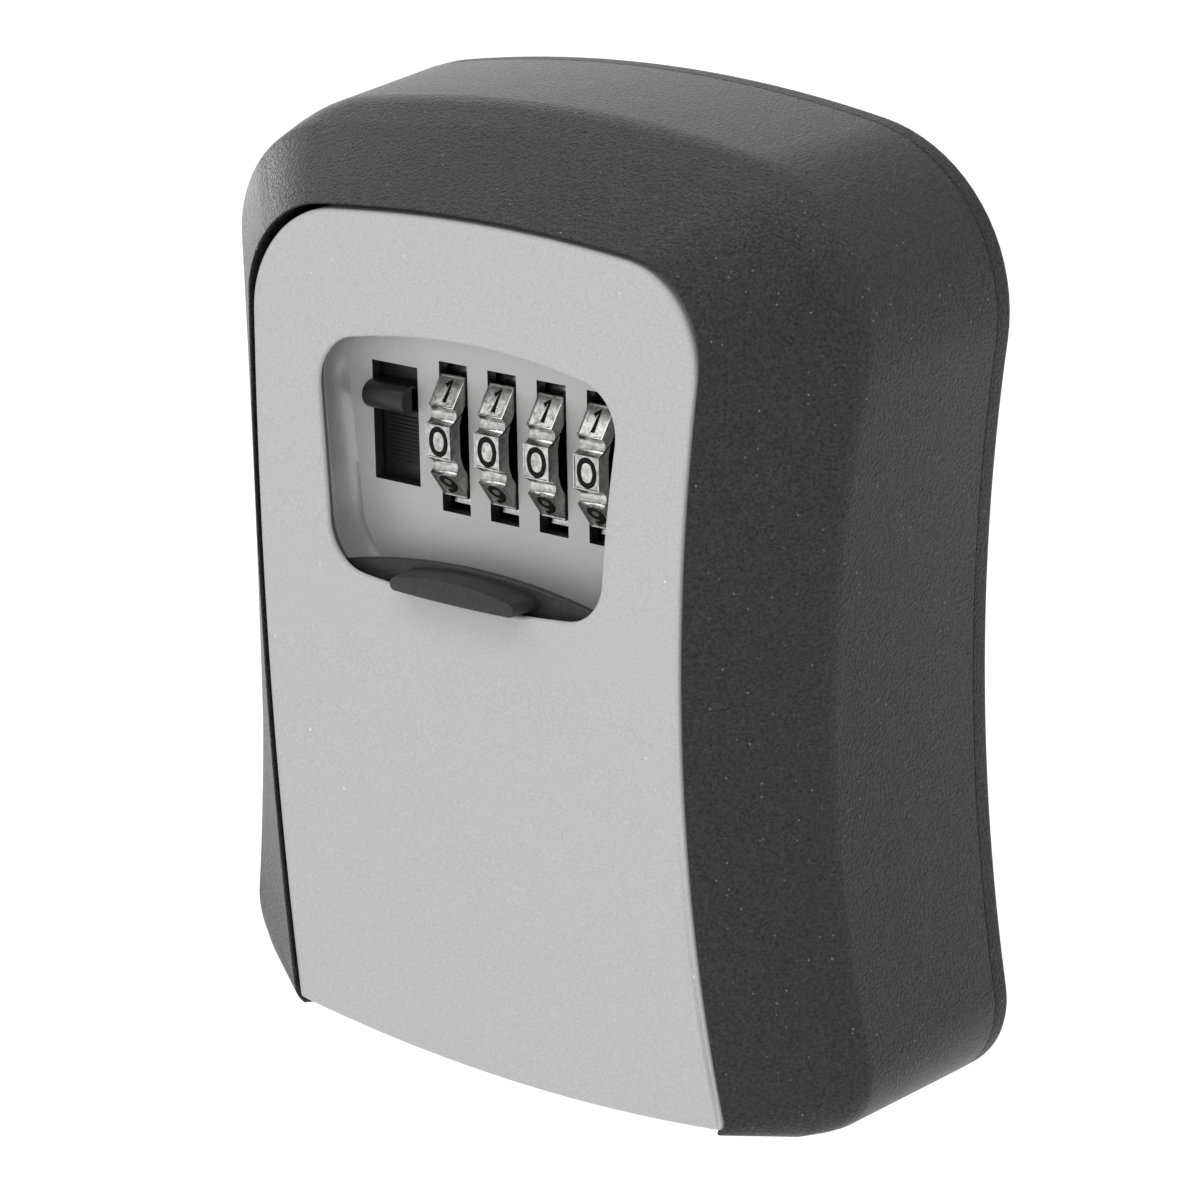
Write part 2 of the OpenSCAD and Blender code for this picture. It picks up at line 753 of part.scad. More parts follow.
// Leaf comb that clicks the dials, drawn lifted onto the lands
module detent_spring() color("#9c9c9c") {
    low = dial_z + dial_r + slide_fit + tooth_r;
    block(first_x - leaf_w / 2, last_x + leaf_w / 2, plate_rear - leaf_t, plate_rear, low, low + leaf_h);
    for (i = [0:3]) {
        block(dial_x(i) - leaf_w / 2, dial_x(i) + leaf_w / 2, dial_d, plate_rear, low, low + leaf_t);
        rod_x(dial_x(i) - leaf_w / 2, dial_x(i) + leaf_w / 2, tooth_r, dial_d, low);
    }
}

module mechanism_cover() color("#8c8c8c") difference() {
    union() {
        difference() {
            slab(cover_rear, plate_rear) rounded(-cover_hw, cover_hw, cover_low, cover_top, cover_corner_r);
            slab(cover_inner, plate_rear + over)
                rounded(-cover_hw + cover_t, cover_hw - cover_t, cover_low + cover_t, cover_top - cover_t,
                    cover_corner_r - cover_t);
        }
        intersection() {
            both_sides() for (z = [boss_low, boss_top]) {
                rod_y(plate_rear - tab_t, plate_rear, tab_r, boss_x, z);
                block(cover_hw - cover_t / 2, boss_x, plate_rear - tab_t, plate_rear, z - tab_r, z + tab_r);
            }
            slab(0, front_d) polygon(outline(inset(door_line, rim_t + slide_fit)));
        }
        block(cover_t / 2 - cover_hw, stem_x1 + slide_fit, cover_inner - joint_in, slider_d - slider_t - over,
            seat_z, seat_z + seat_t);
        both_sides() rod_y(cover_inner - joint_in, latch_d - slide_fit, peg_r, peg_x, peg_z);
    }
    block(-tongue_w / 2 - slide_fit, tongue_w / 2 + slide_fit, latch_rear - slide_fit, latch_d + slide_fit,
        cover_top - 2 * cover_t, cover_top + over);
    block(reset_x - reset_neck_w / 2 - slide_fit, reset_x + reset_neck_w / 2 + reset_travel + slide_fit,
        cover_rear - over, cover_inner + over,
        reset_z - reset_neck_h / 2 - slide_fit, reset_z + reset_neck_h / 2 + slide_fit);
    both_sides() for (z = [boss_low, boss_top])
        rod_y(plate_rear - tab_t - over, plate_rear + over, screw_r + seat_fit, boss_x, z);
}

module cover_screws() color("#8a8a8a")
    both_sides() for (z = [boss_low, boss_top]) {
        rod_y(plate_rear - tab_t - pan_t, plate_rear - tab_t, head_r, boss_x, z);
        rod_y(plate_rear - tab_t - pan_t / 2, plate_d + boss_screw, screw_r, boss_x, z);
    }

// Compression spring under the lever's stem, one tube wound by a formula
coil_steps = coil_sides * coil_turns;
coil_gap = min([for (k = [coil_sides:coil_steps]) norm(coil_mid(k) - coil_mid(k - coil_sides))]) - 2 * wire_r;
echo(str("least gap of the spring to itself in mm: ", coil_gap));

module latch_spring() color("#9c9c9c") {
    last = coil_steps * wire_sides;
    rings = [
        for (k = [0:coil_steps]) [
            for (j = [0:wire_sides - 1])
                let (t = 360 * j / wire_sides)
                coil_mid(k) + wire_r * (cos(t) * coil_out(k) + sin(t) * [0, 0, 1])
        ]
    ];
    polyhedron(
        points = [for (ring = rings) each ring],
        faces = concat(
            [
                for (k = [0:coil_steps - 1], j = [0:wire_sides - 1])
                    let (a = k * wire_sides + j, b = k * wire_sides + (j + 1) % wire_sides)
                    each [[a, a + wire_sides, b], [b, a + wire_sides, b + wire_sides]]
            ],
            [for (j = [1:wire_sides - 2]) [0, j, j + 1]],
            [for (j = [1:wire_sides - 2]) [last, last + j + 1, last + j]]
        )
    );
}

module shutter() color("#3a3a3a") {
    grip_low = window_bottom + grip_rise;
    intersection() {
        slab(front_d / 2, front_d) intersection() {
            translate([-shutter_w / 2, shutter_top - shutter_h]) square([shutter_w, shutter_h]);
            translate([0, shutter_top - shutter_top_r]) circle(shutter_top_r, $fn = 180);
        }
        bowed(shutter_face, shutter_rear);
    }
    intersection() {
        slab(front_d / 2, 2 * front_d)
            rounded(-grip_w / 2, grip_w / 2, grip_low, grip_low + grip_h, grip_h / 2 - hair);
        bowed(-grip_out, shutter_rear - shutter_t / 2);
    }
}

module open_lever() color("#2e2e2e") {
    ledge_r = ledge_h / 2;
    nose_d = plate_d + ledge_out - ledge_r;
    block(lever_x0 - slider_side, lever_x1, slider_d - slider_t, slider_d, slider_low, slider_top);
    block(lever_x0, lever_x1, slider_d - joint_in, nose_d, ledge_top - ledge_h, ledge_top);
    rod_x(lever_x0, lever_x1, ledge_r, nose_d, ledge_top - ledge_r);
    block(lever_x0, stem_x1, latch_d, slider_d - joint_in, stem_low, ledge_top);
}

module latch_plate() color("#a0a0a0") difference() {
    slab(latch_rear, latch_d) {
        rounded(-latch_hw, latch_hw, latch_low, latch_shoulder, latch_corner_r);
        rounded(-tongue_w / 2, tongue_w / 2, latch_shoulder - 4 * latch_corner_r, tongue_top, latch_corner_r);
    }
    both_sides() slab(latch_rear - over, latch_d + over)
        rounded(peg_x - slot_r, peg_x + slot_r, peg_z - slot_r, peg_z + lever_travel + slot_r, slot_r - hair);
}

// Comb on the latch plate whose fingers pass behind the code discs
module lock_fence() color("#909090") {
    tip = dial_d - code_r - slide_fit;
    block(first_x, last_x + disc_out, latch_d, fence_d, fence_low, fence_top);
    for (i = [0:3]) {
        x = dial_x(i) + disc_in + disc_t / 2;
        block(x - finger_w / 2, x + finger_w / 2, fence_d - joint_in, tip, fence_low, fence_top);
    }
}

// Number wheel with ten lands, seen along its axis and cut between the lands
module dial_wheel(i) color("#b8b8b8") {
    corner = dial_flat / cos(half_land);
    translate([dial_x(i) - dial_w / 2, -dial_d, dial_z]) rotate([0, 90, 0]) difference() {
        linear_extrude(dial_w) difference() {
            circle(r = corner, $fn = lands);
            for (k = [0:lands - 1])
                rotate(2 * k * half_land) translate([corner - groove_in, 0]) circle(groove_r);
        }
        translate([0, 0, -over]) cylinder(h = dial_w + 2 * over, r = sleeve_r + seat_fit);
        for (x = [side_recess - over, dial_w - side_recess])
            translate([0, 0, x]) cylinder(h = over, r = recess_r);
    }
}

// Sleeve that carries the wheel on the shaft, with the notched code disc beside the wheel
module code_sleeve(i) color("#8f8f8f") {
    x = dial_x(i);
    difference() {
        union() {
            rod_x(x - dial_w / 2, x + disc_in, sleeve_r, dial_d, dial_z);
            rod_x(x - hub_left, x, hub_r, dial_d, dial_z);
            rod_x(x + disc_in, x + disc_out, code_r, dial_d, dial_z);
        }
        rod_x(x - dial_pitch, x + dial_pitch, shaft_r + turn_fit, dial_d, dial_z);
        block(x + disc_in, x + disc_out + over, dial_d - far, dial_d - notch_r, dial_z - far, dial_z + far);
    }
}

module dial_wheel_1() dial_wheel(0);
module dial_wheel_2() dial_wheel(1);
module dial_wheel_3() dial_wheel(2);
module dial_wheel_4() dial_wheel(3);
module code_sleeve_1() code_sleeve(0);
module code_sleeve_2() code_sleeve(1);
module code_sleeve_3() code_sleeve(2);
module code_sleeve_4() code_sleeve(3);

module reset_lever() color("#5a5a5a") {
    pad = cover_rear - reset_play;
    foot = cover_inner + reset_play;
    neck = reset_neck_w / 2;
    slab(pad - reset_t, pad)
        rounded(reset_x - reset_w / 2, reset_x + reset_w / 2, reset_z - reset_h / 2, reset_z + reset_h / 2,
            latch_corner_r);
    block(reset_x - neck, reset_x + neck, pad - reset_t - reset_knob, foot + reset_foot_t,
        reset_z - reset_neck_h / 2, reset_z + reset_neck_h / 2);
    block(reset_x - neck, reset_x + neck, foot, foot + reset_foot_t,
        reset_z - reset_foot_h / 2, reset_z + reset_foot_h / 2);
}

housing();
back_plate();
back_plate_screws();
strike_plate();
strike_screws();
hinge_pin();
door_panel();
dial_plate();
dial_shaft();
detent_spring();
mechanism_cover();
cover_screws();
latch_spring();
shutter();
open_lever();
latch_plate();
lock_fence();
dial_wheel_1();
dial_wheel_2();
dial_wheel_3();
dial_wheel_4();
code_sleeve_1();
code_sleeve_2();
code_sleeve_3();
code_sleeve_4();
reset_lever();
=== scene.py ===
import math
from collections import namedtuple

import bmesh
import bpy
from mathutils import Matrix, Vector


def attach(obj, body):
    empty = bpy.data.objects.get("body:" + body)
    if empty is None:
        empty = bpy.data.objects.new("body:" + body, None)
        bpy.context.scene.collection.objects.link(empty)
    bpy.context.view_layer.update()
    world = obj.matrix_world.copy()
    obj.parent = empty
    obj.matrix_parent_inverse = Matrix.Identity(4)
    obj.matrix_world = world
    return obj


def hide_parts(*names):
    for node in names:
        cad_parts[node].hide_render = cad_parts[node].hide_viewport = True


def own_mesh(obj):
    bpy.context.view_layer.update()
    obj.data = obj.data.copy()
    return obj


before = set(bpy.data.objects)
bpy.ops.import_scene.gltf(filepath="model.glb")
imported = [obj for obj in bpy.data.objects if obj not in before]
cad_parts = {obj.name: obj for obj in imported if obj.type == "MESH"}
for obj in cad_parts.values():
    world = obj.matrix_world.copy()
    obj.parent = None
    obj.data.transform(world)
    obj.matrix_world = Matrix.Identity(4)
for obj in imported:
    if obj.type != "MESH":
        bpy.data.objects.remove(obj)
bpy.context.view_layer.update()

MM = 0.001

# Sizes in millimetres. They follow the part's source, but for edges that the photograph shows finer.
# Depths count from the wall to the front.
FRONT_D, BOW_R, BOW_Z = 40.5, 325, 1

# Outlines in the front view
Line = namedtuple("Line", "half waist side_r top top_r top_corner low low_r low_corner")
BACK_LINE = Line(46.3, -4, 255, 60, 191, 21, -60, 600, 11)
RIDGE_LINE = Line(44.2, -4, 230, 58.7, 191, 21, -59.4, 600, 9)
CROWN_LINE = Line(41.336, -5.74, 345.86, 56.1, 202.46, 13, -59.5, 600, 6.5)
DOOR_LINE = Line(32.1, -10, 630, 47.5, 230, 12.5, -59.4, 220, 0.8)
LIP_LINE = Line(32.4, -10, 629.7, 48, 230.5, 11.3, -59.9, 220.5, 2)
WINDOW_LINE = Line(20.4, -10, 290, 33.6, 96, 6, 2.8, 150, 6)
GRIP_LINE = Line(10.2, 4.2, 2000, 5.95, 51, 0.9, 3.25, 300, 0.75)
STEPS = {"flat": 10, "corner": 18, "side": 28}

# Casting and rear plate
BACK_T, WALL, SEAM = 3, 2.5, 0.02
RIDGE_BACK, RIDGE_TILT, RIDGE_BOW_R, RIDGE_ROUND, RIDGE_STEP = 12.5, 0.032, 480, 1.3, 1.04
CROWN_AT = 0.71
LIP_PROUD, LIP_D, LIP_ROUND = 0.12, 3, 0.45
FLOOR_FRONT, FOOT_HALF, FOOT_TOP = 31, 32.7, -55
LUG_IN, LUG_OUT, NOTCH_D = 32.2, 36.7, 21.5
PLATE_BOSS_R, PLATE_BOSS_L, PLATE_BOSS_BITE = 3.2, 10, 0.8
WALL_HOLE_X, WALL_HOLE_Z, WALL_HOLE_R = 30, 40, 2.5
STRIKE_HALF, STRIKE_LOW, RIB_D, RIB_T = 10.5, 46, 15.99, 6

# Door and its hinge
SKIN_T, RIM_T, RIM_REAR, RIM_FOOT, WINDOW_EDGE, UNDERCUT = 1.8, 1.8, 28.5, -47.8, 0.6, 1
HINGE_D, HINGE_Z, EAR_R = 26.5, -55.5, 3.6
EAR_IN, EAR_OUT, EAR_GAP = 27.8, 31.8, 0.4
BOSS_X, BOSS_ROWS, BOSS_R = 27.9, (-1, 37), 2.2
RAIL_X, RAIL_T, RAIL_LOW, RAIL_REAR = 25.5, 1.2, -28.5, 3.2

# Screws
SCREW_R, HEAD_R, PAN_T, TAB_REAR = 1.1, 2, 1.3, 30
CROSS_HALF, CROSS_LONG, CROSS_D = 0.25, 1.1, 0.7
HEAD_PROUD, PLATE_SCREW_SPARE, LID_SCREW_BITE = 0.01, 1.5, 4

# Dial plate and the tray's wall
PLATE_D, PLATE_T, PLATE_LOW, PLATE_TOP = 33, 1.5, -5, 44
TRAY_OFF, TRAY_IN, TRAY_OUT, TRAY_FOOT, TRAY_LIFT = 3.5, 2.2, 3, 1.0, 0.02
TRAY_LEAN, TRAY_STEPS = math.radians(30), 6
CHEEKS, CHEEK_R = ((-12.45, -11.05), (19.25, 20.65)), 4
SLOT_GAP, SLOT_LOW, SLOT_TOP = 0.25, 10.91, 29.1
FIELD_HALF, FIELD_LOW, FIELD_TOP = 20, 5, 30

# Dials
DIALS, DIAL_D, DIAL_Z, DIAL_W, DIAL_FLAT, DIAL_PITCH, FIRST_X = 4, 26.2, 20.3, 3.8, 9.8, 7.5, -7
LANDS, GROOVE_R, GROOVE_IN, RECESS_R, RECESS, BORE_R = 10, 1.1, 0.2, 6.9, 0.6, 3.62
RIM_R, RIM_STEP = 8.2, 0.3
FRAME_W, FRAME_SINK, FIGURE_H, FIGURE_W, STROKE_R, FIGURE_PROUD = 0.2, 0.12, 3.4, 2.7, 0.33, 0.05

# Opening lever
LEVER_X0, LEVER_X1, LEVER_SLOT_LOW, LEVER_SLOT_TOP, SLIDE_FIT = -19.45, -12.95, 13.2, 27.7, 0.3
LEDGE_TOP, LEDGE_H, LEDGE_OUT, STEM_W, STEM_LOW, LATCH_D = 25.6, 3.4, 2.5, 3.8, 19.5, 14.09
SLIDER_D, SLIDER_T, SLIDER_SIDE, SLIDER_LOW, SLIDER_TOP = 31.2, 1.5, 0.6, 6.7, 36.5
THUMB_RIBS, THUMB_PITCH, THUMB_R, THUMB_DROP, THUMB_SIDE = 12, 0.5, 0.17, 1.4, 0.6

# Shutter
SHUTTER_W, SHUTTER_H, SHUTTER_TOP, SHUTTER_TOP_R = 50.4, 33, 6.5, 90
SHUTTER_OFF, SHUTTER_T, GRIP_OUT, GRIP_TAPER = 2.1, 1.1, 1.9, 0.93

# Latch spring
SPRING_X, SPRING_D, SPRING_LOW, SPRING_TOP = -17.55, 21.57, 5.6, 19.2
COIL_R, WIRE_R, TURNS, TURN_STEPS, LATCH_TRAVEL = 1.6, 0.3, 9, 24, 8

# Roundings of edges
CRISP_EDGE, SLOT_EDGE, FINE_EDGE, SOFT_EDGE, ROUND_EDGE = 0.1, 0.12, 0.15, 0.2, 0.3
WINDOW_ROLL, RIB_EDGE, GRIP_EDGE, DOOR_EDGE, PLATE_EDGE = 0.4, 0.6, 0.7, 0.9, 0.9

# Overlap of joined lumps, the distance that counts as touching, and the turns of sharp and smooth edges
OVERLAP, TOUCH = 0.5, 0.001
SHARP, SMOOTH = 1.0, math.radians(32)


def face_d(z):
    """Depth of the bowed door face at a height."""
    return FRONT_D - BOW_R + math.sqrt(BOW_R ** 2 - (z - BOW_Z) ** 2)


def ridge_d(z):
    """Depth of the casting's ridge, which leans and bows less than the door."""
    bowed = math.sqrt(RIDGE_BOW_R ** 2 - (z - BOW_Z) ** 2) - RIDGE_BOW_R
    return FRONT_D - RIDGE_BACK - RIDGE_TILT * z + bowed


def crown_d(z):
    """Depth of the fullest line of the bevel, between lip and ridge."""
    return (1 - CROWN_AT) * (face_d(z) + LIP_PROUD) + CROWN_AT * ridge_d(z)


def floor_z(x):
    """Underside of the housing's floor at a distance from the middle."""
    return RIDGE_LINE.low + RIDGE_LINE.low_r - math.sqrt(RIDGE_LINE.low_r ** 2 - x ** 2)


def grown(line, by):
    """The same outline drawn out all round, or in where the distance is negative."""
    least_corner = 0.2
    return Line(line.half + by, line.waist, line.side_r - by, line.top + by, line.top_r + by,
                line.top_corner + by, line.low - by, line.low_r + by, max(line.low_corner + by, least_corner))


def meet(a, ra, b, rb, side):
    """Crossing of two circles in the front view."""
    v = b - a
    t = (ra * ra - rb * rb + v.length_squared) / (2 * v.length)
    h = side * math.sqrt(ra * ra - t * t)
    return a + (v * t + Vector((-v.y, v.x)) * h) / v.length


def bearing(a, b):
    return math.atan2(b.y - a.y, b.x - a.x)


def centres(line):
    """Middles of an outline's arcs: side, top edge, bottom edge, upper corner and lower corner."""
    side = Vector((line.half + line.side_r, line.waist))
    crown = Vector((0, line.top - line.top_r))
    foot = Vector((0, line.low + line.low_r))
    high = meet(crown, line.top_r - line.top_corner, side, line.side_r + line.top_corner, 1)
    deep = meet(foot, line.low_r - line.low_corner, side, line.side_r + line.low_corner, -1)
    return side, crown, foot, high, deep


def verts_of(geom):
    return [item for item in geom if isinstance(item, bmesh.types.BMVert)]


def faces_of(geom):
    return [item for item in geom if isinstance(item, bmesh.types.BMFace)]


def once(items):
    """Each item once, in the order they come, so that every run gives the same mesh."""
    return list(dict.fromkeys(items))


def sweep(bm, tip, centre, angle, steps):
    """Draws an arc in the front view from a vertex and gives its far end."""
    made = bmesh.ops.spin(bm, geom=[tip], cent=(centre.x, tip.co.y, centre.y), axis=(0, -1, 0), angle=angle,
                          steps=steps)
    return verts_of(made["geom_last"])[0]


def outline(bm, line, depth):
    """Closed waisted outline: one vertex swept along five arcs, mirrored, then set to its depth."""
    old = set(bm.edges)
    side, crown, foot, high, deep = centres(line)
    quarter = math.pi / 2
    arcs = (
        (foot, -quarter, bearing(foot, deep), "flat"),
        (deep, bearing(foot, deep), bearing(deep, side), "corner"),
        (side, bearing(side, deep), bearing(side, high), "side"),
        (high, bearing(high, side), bearing(crown, high), "corner"),
        (crown, bearing(crown, high), quarter, "flat"),
    )
    tip = bm.verts.new((0, 0, line.low))
    for centre, start, end, kind in arcs:
        angle = math.remainder(end - start, 2 * math.pi)
        tip = sweep(bm, tip, centre, angle, STEPS[kind])
    half = [e for e in bm.edges if e not in old]
    verts = once(v for e in half for v in e.verts)
    bmesh.ops.mirror(bm, geom=half + verts, axis="X", merge_dist=TOUCH / 10)
    ring = [e for e in bm.edges if e not in old]
    set_depth(once(v for e in ring for v in e.verts), depth)
    return ring


def set_depth(verts, depth):
    for v in verts:
        v.co.y = -depth(v.co.z)


def bow(verts):
    """Moves flat work, laid out at the door's greatest depth, back onto the bow."""
    for v in verts:
        v.co.y += FRONT_D - face_d(v.co.z)


def loft(bm, rings):
    """Joins rings one after the other, the last to the first, and gives the edges across each stretch."""
    return [bmesh.ops.bridge_loops(bm, edges=a + b)["edges"] for a, b in zip(rings, rings[1:] + rings[:1])]


def soften(bm, edges, width, segments):
    bmesh.ops.bevel(bm, geom=edges, offset=width, offset_type="OFFSET", segments=segments, profile=0.5,
                    affect="EDGES", material=-1, clamp_overlap=True)


def rim_at(bm, depth):
    """Sharp edges that lie at one depth."""
    level = [e for e in bm.edges if all(abs(v.co.y + depth) < TOUCH for v in e.verts)]
    return [e for e in level if e.calc_face_angle(0) > SHARP]


def block(bm, x, d, z, rounding):
    """Box between pairs of limits across, in depth and in height, with softened edges."""
    middle = Vector((sum(x), -sum(d), sum(z))) / 2
    size = Vector((x[1] - x[0], d[1] - d[0], z[1] - z[0]))
    place = Matrix.Translation(middle) @ Matrix.Diagonal(size).to_4x4()
    verts = bmesh.ops.create_cube(bm, size=1, matrix=place)["verts"]
    soften(bm, once(e for v in verts for e in v.link_edges), rounding, 2)


def rod(bm, start, end, radius, far_radius=None, sides=40, rounding=0.0):
    """Turned rod between two points, given as across, depth and height."""
    a, b = (Vector((p[0], -p[1], p[2])) for p in (start, end))
    place = Matrix.Translation((a + b) / 2) @ (b - a).to_track_quat("Z", "Y").to_matrix().to_4x4()
    made = bmesh.ops.create_cone(bm, cap_ends=True, segments=sides, radius1=radius,
                                 radius2=radius if far_radius is None else far_radius,
                                 depth=(b - a).length, matrix=place)["verts"]
    if rounding:
        edges = once(e for v in made for e in v.link_edges)
        soften(bm, [e for e in edges if any(len(f.verts) == sides for f in e.link_faces)], rounding, 2)


def within(bm, low, high):
    """Faces whose middle lies between two corners, with their edges and vertices."""
    faces = [f for f in bm.faces if all(a < c < b for a, c, b in zip(low, f.calc_center_median(), high))]
    return faces + once(e for f in faces for e in f.edges) + once(v for f in faces for v in f.verts)


def cross_screw(bm, x, z, rear, throat, tip, throat_r):
    """Screw driven from behind: head, shank and a cross pressed into the head."""
    rod(bm, (x, throat, z), (x, tip, z), SCREW_R, sides=24, rounding=FINE_EDGE)
    rod(bm, (x, rear, z), (x, throat, z), HEAD_R, throat_r)
    near = 10 * TOUCH
    low, high = (Vector((x + k * HEAD_R, k * near - rear, z + k * HEAD_R)) for k in (-1, 1))
    for way in (Vector((1, 0, 0)), Vector((0, 0, 1))):
        for off in (-CROSS_LONG, -CROSS_HALF, CROSS_HALF, CROSS_LONG):
            spot = Vector((x, -rear, z)) + off * way
            bmesh.ops.bisect_plane(bm, geom=within(bm, low, high), plane_co=spot, plane_no=way)
    arms = []
    for wide, tall in ((CROSS_LONG, CROSS_HALF), (CROSS_HALF, CROSS_LONG)):
        arm = within(bm, (x - wide, low.y, z - tall), (x + wide, high.y, z + tall))
        arms += [f for f in faces_of(arm) if f not in arms]
    made = bmesh.ops.extrude_face_region(bm, geom=arms)["geom"]
    bmesh.ops.translate(bm, vec=(0, -CROSS_D, 0), verts=verts_of(made))
    bmesh.ops.delete(bm, geom=[f for f in arms if f.is_valid], context="FACES_ONLY")


def finish(bm, name, body, finishes, replaced):
    """Turns a mesh into a piece of the part in metres and hangs it on its body."""
    bmesh.ops.remove_doubles(bm, verts=bm.verts, dist=TOUCH / 2)
    bmesh.ops.recalc_face_normals(bm, faces=bm.faces)
    bmesh.ops.scale(bm, vec=(MM, MM, MM), verts=bm.verts)
    for face in bm.faces:
        face.smooth = True
    for edge in bm.edges:
        edge.smooth = edge.calc_face_angle(0) < SMOOTH
    mesh = bpy.data.meshes.new(name)
    bm.to_mesh(mesh)
    bm.free()
    for item in finishes:
        mesh.materials.append(item)
    piece = bpy.data.objects.new(name, mesh)
    bpy.context.scene.collection.objects.link(piece)
    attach(piece, body)
    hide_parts(*replaced)
    return piece


# Finishes
EVEN, ACROSS, UPRIGHT = (1, 1, 1), (0.08, 1, 1), (1, 1, 0.08)
GRAIN_LOW, GRAIN_HIGH = 0.3, 0.7
FLECK_CORE, FLECK_EDGE, FLECK_MOST = 0.06, 0.14, 0.8


def linear(code):
    """Linear colour of an sRGB hex value."""
    parts = [int(code[i:i + 2], 16) / 255 for i in (1, 3, 5)]
    return tuple(((c + 0.055) / 1.055) ** 2.4 if c > 0.04045 else c / 12.92 for c in parts) + (1.0,)


def add(tree, kind, sockets, **settings):
    """Adds a node with its settings, and sets or links its inputs."""
    made = tree.nodes.new("ShaderNode" + kind)
    for name, value in settings.items():
        setattr(made, name, value)
    for name, value in sockets.items():
        if isinstance(value, bpy.types.NodeSocket):
            tree.links.new(value, made.inputs[name])
        else:
            made.inputs[name].default_value = value
    return made


def plain_finish(name, values):
    """Starts a finish with even values."""
    mat = bpy.data.materials.new(name)
    mat.use_nodes = True
    shader = mat.node_tree.nodes["Principled BSDF"]
    for socket, value in values.items():
        shader.inputs[socket].default_value = value
    return mat, mat.node_tree, shader


def grained_finish(name, values, dark, light, grit, depth, relief, detail=2.0, breakup=0.5, stretch=EVEN):
    """Starts a finish whose colour and relief follow one grain, its size and depth in millimetres."""
    mat, tree, shader = plain_finish(name, values)
    place = add(tree, "TexCoord", {}).outputs["Object"]
    turned = add(tree, "Mapping", {"Vector": place, "Scale": stretch}).outputs["Vector"]
    noise = add(tree, "TexNoise", {"Vector": turned, "Scale": 1 / (grit * MM), "Detail": detail,
                                   "Roughness": breakup})
    grain = noise.outputs["Fac"]
    tone = add(tree, "ValToRGB", {"Fac": grain})
    for stop, at, code in zip(tone.color_ramp.elements, (GRAIN_LOW, GRAIN_HIGH), (dark, light)):
        stop.position = at
        stop.color = linear(code)
    tree.links.new(tone.outputs["Color"], shader.inputs["Base Color"])
    bump = add(tree, "Bump", {"Height": grain, "Strength": relief, "Distance": depth * MM})
    tree.links.new(bump.outputs["Normal"], shader.inputs["Normal"])
    return mat, tree, shader, grain


def textured_coat(name, dark, light, roughness, shine, grit, depth, glint_fleck, share, spacing, metal=0.0):
    """Sprayed, baked coat: sandy, with a broken gloss and a few pale flecks painted into the colour as glints
    of the coat's sparkle.
    """
    # The real grit is about 0.1 mm; it is drawn coarser, or it would not show at this size
    values = {"Roughness": roughness, "Metallic": metal}
    mat, tree, shader, grain = grained_finish(name, values, dark, light, grit, depth, relief=1.0, breakup=0.6)
    gloss = add(tree, "MapRange", {"Value": grain, "From Min": GRAIN_LOW, "From Max": GRAIN_HIGH,
                                   "To Min": shine[0], "To Max": shine[1]})
    tree.links.new(gloss.outputs["Result"], shader.inputs["Specular IOR Level"])
    place = add(tree, "TexCoord", {}).outputs["Object"]
    # Pale flecks mixed into the colour: painted glints that stand in for the sparkle of the coat
    cells = add(tree, "TexVoronoi", {"Vector": place, "Scale": 1 / (spacing * MM)})
    near = add(tree, "MapRange", {"Value": cells.outputs["Distance"], "From Min": FLECK_CORE,
                                  "From Max": FLECK_EDGE, "To Min": 1.0, "To Max": 0.0})
    pick = add(tree, "SeparateColor", {"Color": cells.outputs["Color"]})
    chosen = add(tree, "MapRange", {"Value": pick.outputs["Red"], "From Min": 1 - share, "From Max": 1.0,
                                    "To Min": 0.0, "To Max": FLECK_MOST})
    part = add(tree, "Math", {0: near.outputs["Result"], 1: chosen.outputs["Result"]}, operation="MULTIPLY")
    base = shader.inputs["Base Color"]
    glint_flecked = add(tree, "MixRGB", {"Fac": part.outputs["Value"], "Color1": base.links[0].from_socket,
                                   "Color2": linear(glint_fleck)})
    tree.links.new(glint_flecked.outputs["Color"], base)
    return mat


def moulded_plastic(name, dark, light, roughness, grit, depth, shine=0.5):
    """Injection-moulded or wiped on: an even, fine grain and a dull gloss."""
    values = {"Roughness": roughness, "Specular IOR Level": shine}
    return grained_finish(name, values, dark, light, grit, depth, relief=0.4)[0]


def worked_metal(name, dark, light, roughness, spread, grit, stretch, depth):
    """Bare or plated metal: reflections broken up by casting skin or by drawn lines along one way."""
    mat, tree, shader, grain = grained_finish(name, {"Metallic": 1.0}, dark, light, grit, depth, relief=0.25,
                                              detail=3.0, stretch=stretch)
    gloss = add(tree, "MapRange", {"Value": grain, "From Min": GRAIN_LOW, "From Max": GRAIN_HIGH,
                                   "To Min": roughness - spread, "To Max": roughness + spread})
    tree.links.new(gloss.outputs["Result"], shader.inputs["Roughness"])
    return mat


# Dark and sandy: the top glitters at a low angle and the bevels stay nearly black
charcoal_coat = textured_coat("charcoal_powder_coat_on_die_cast_zinc", "#161616", "#1d1d1d", 0.34,
                              (0.26, 0.54), 0.38, 0.5, "#9c9c9c", 0.35, 1.0)
# The same powder on a smoother sheet, a shade duller than the casting
plate_coat = textured_coat("charcoal_powder_coat_on_pressed_steel", "#151515", "#1c1c1c", 0.42,
                           (0.2, 0.45), 0.38, 0.5, "#9c9c9c", 0.35, 1.0)
# Pale and even, so that the bow of the door shows as one soft tone
silver_coat = textured_coat("silver_grey_powder_coat_on_die_cast_zinc", "#adadad", "#bdbdbd", 0.55,
                            (0.4, 0.6), 0.25, 0.03, "#f2f2f2", 0.05, 1.6)
# A little metal flake in the lacquer makes the tray's floor glow
tray_coat = textured_coat("silver_flake_lacquer_on_steel_plate", "#b6b6b6", "#c0c0c0", 0.42,
                          (0.4, 0.6), 0.25, 0.015, "#e8e8e8", 0.02, 1.6, 0.1)
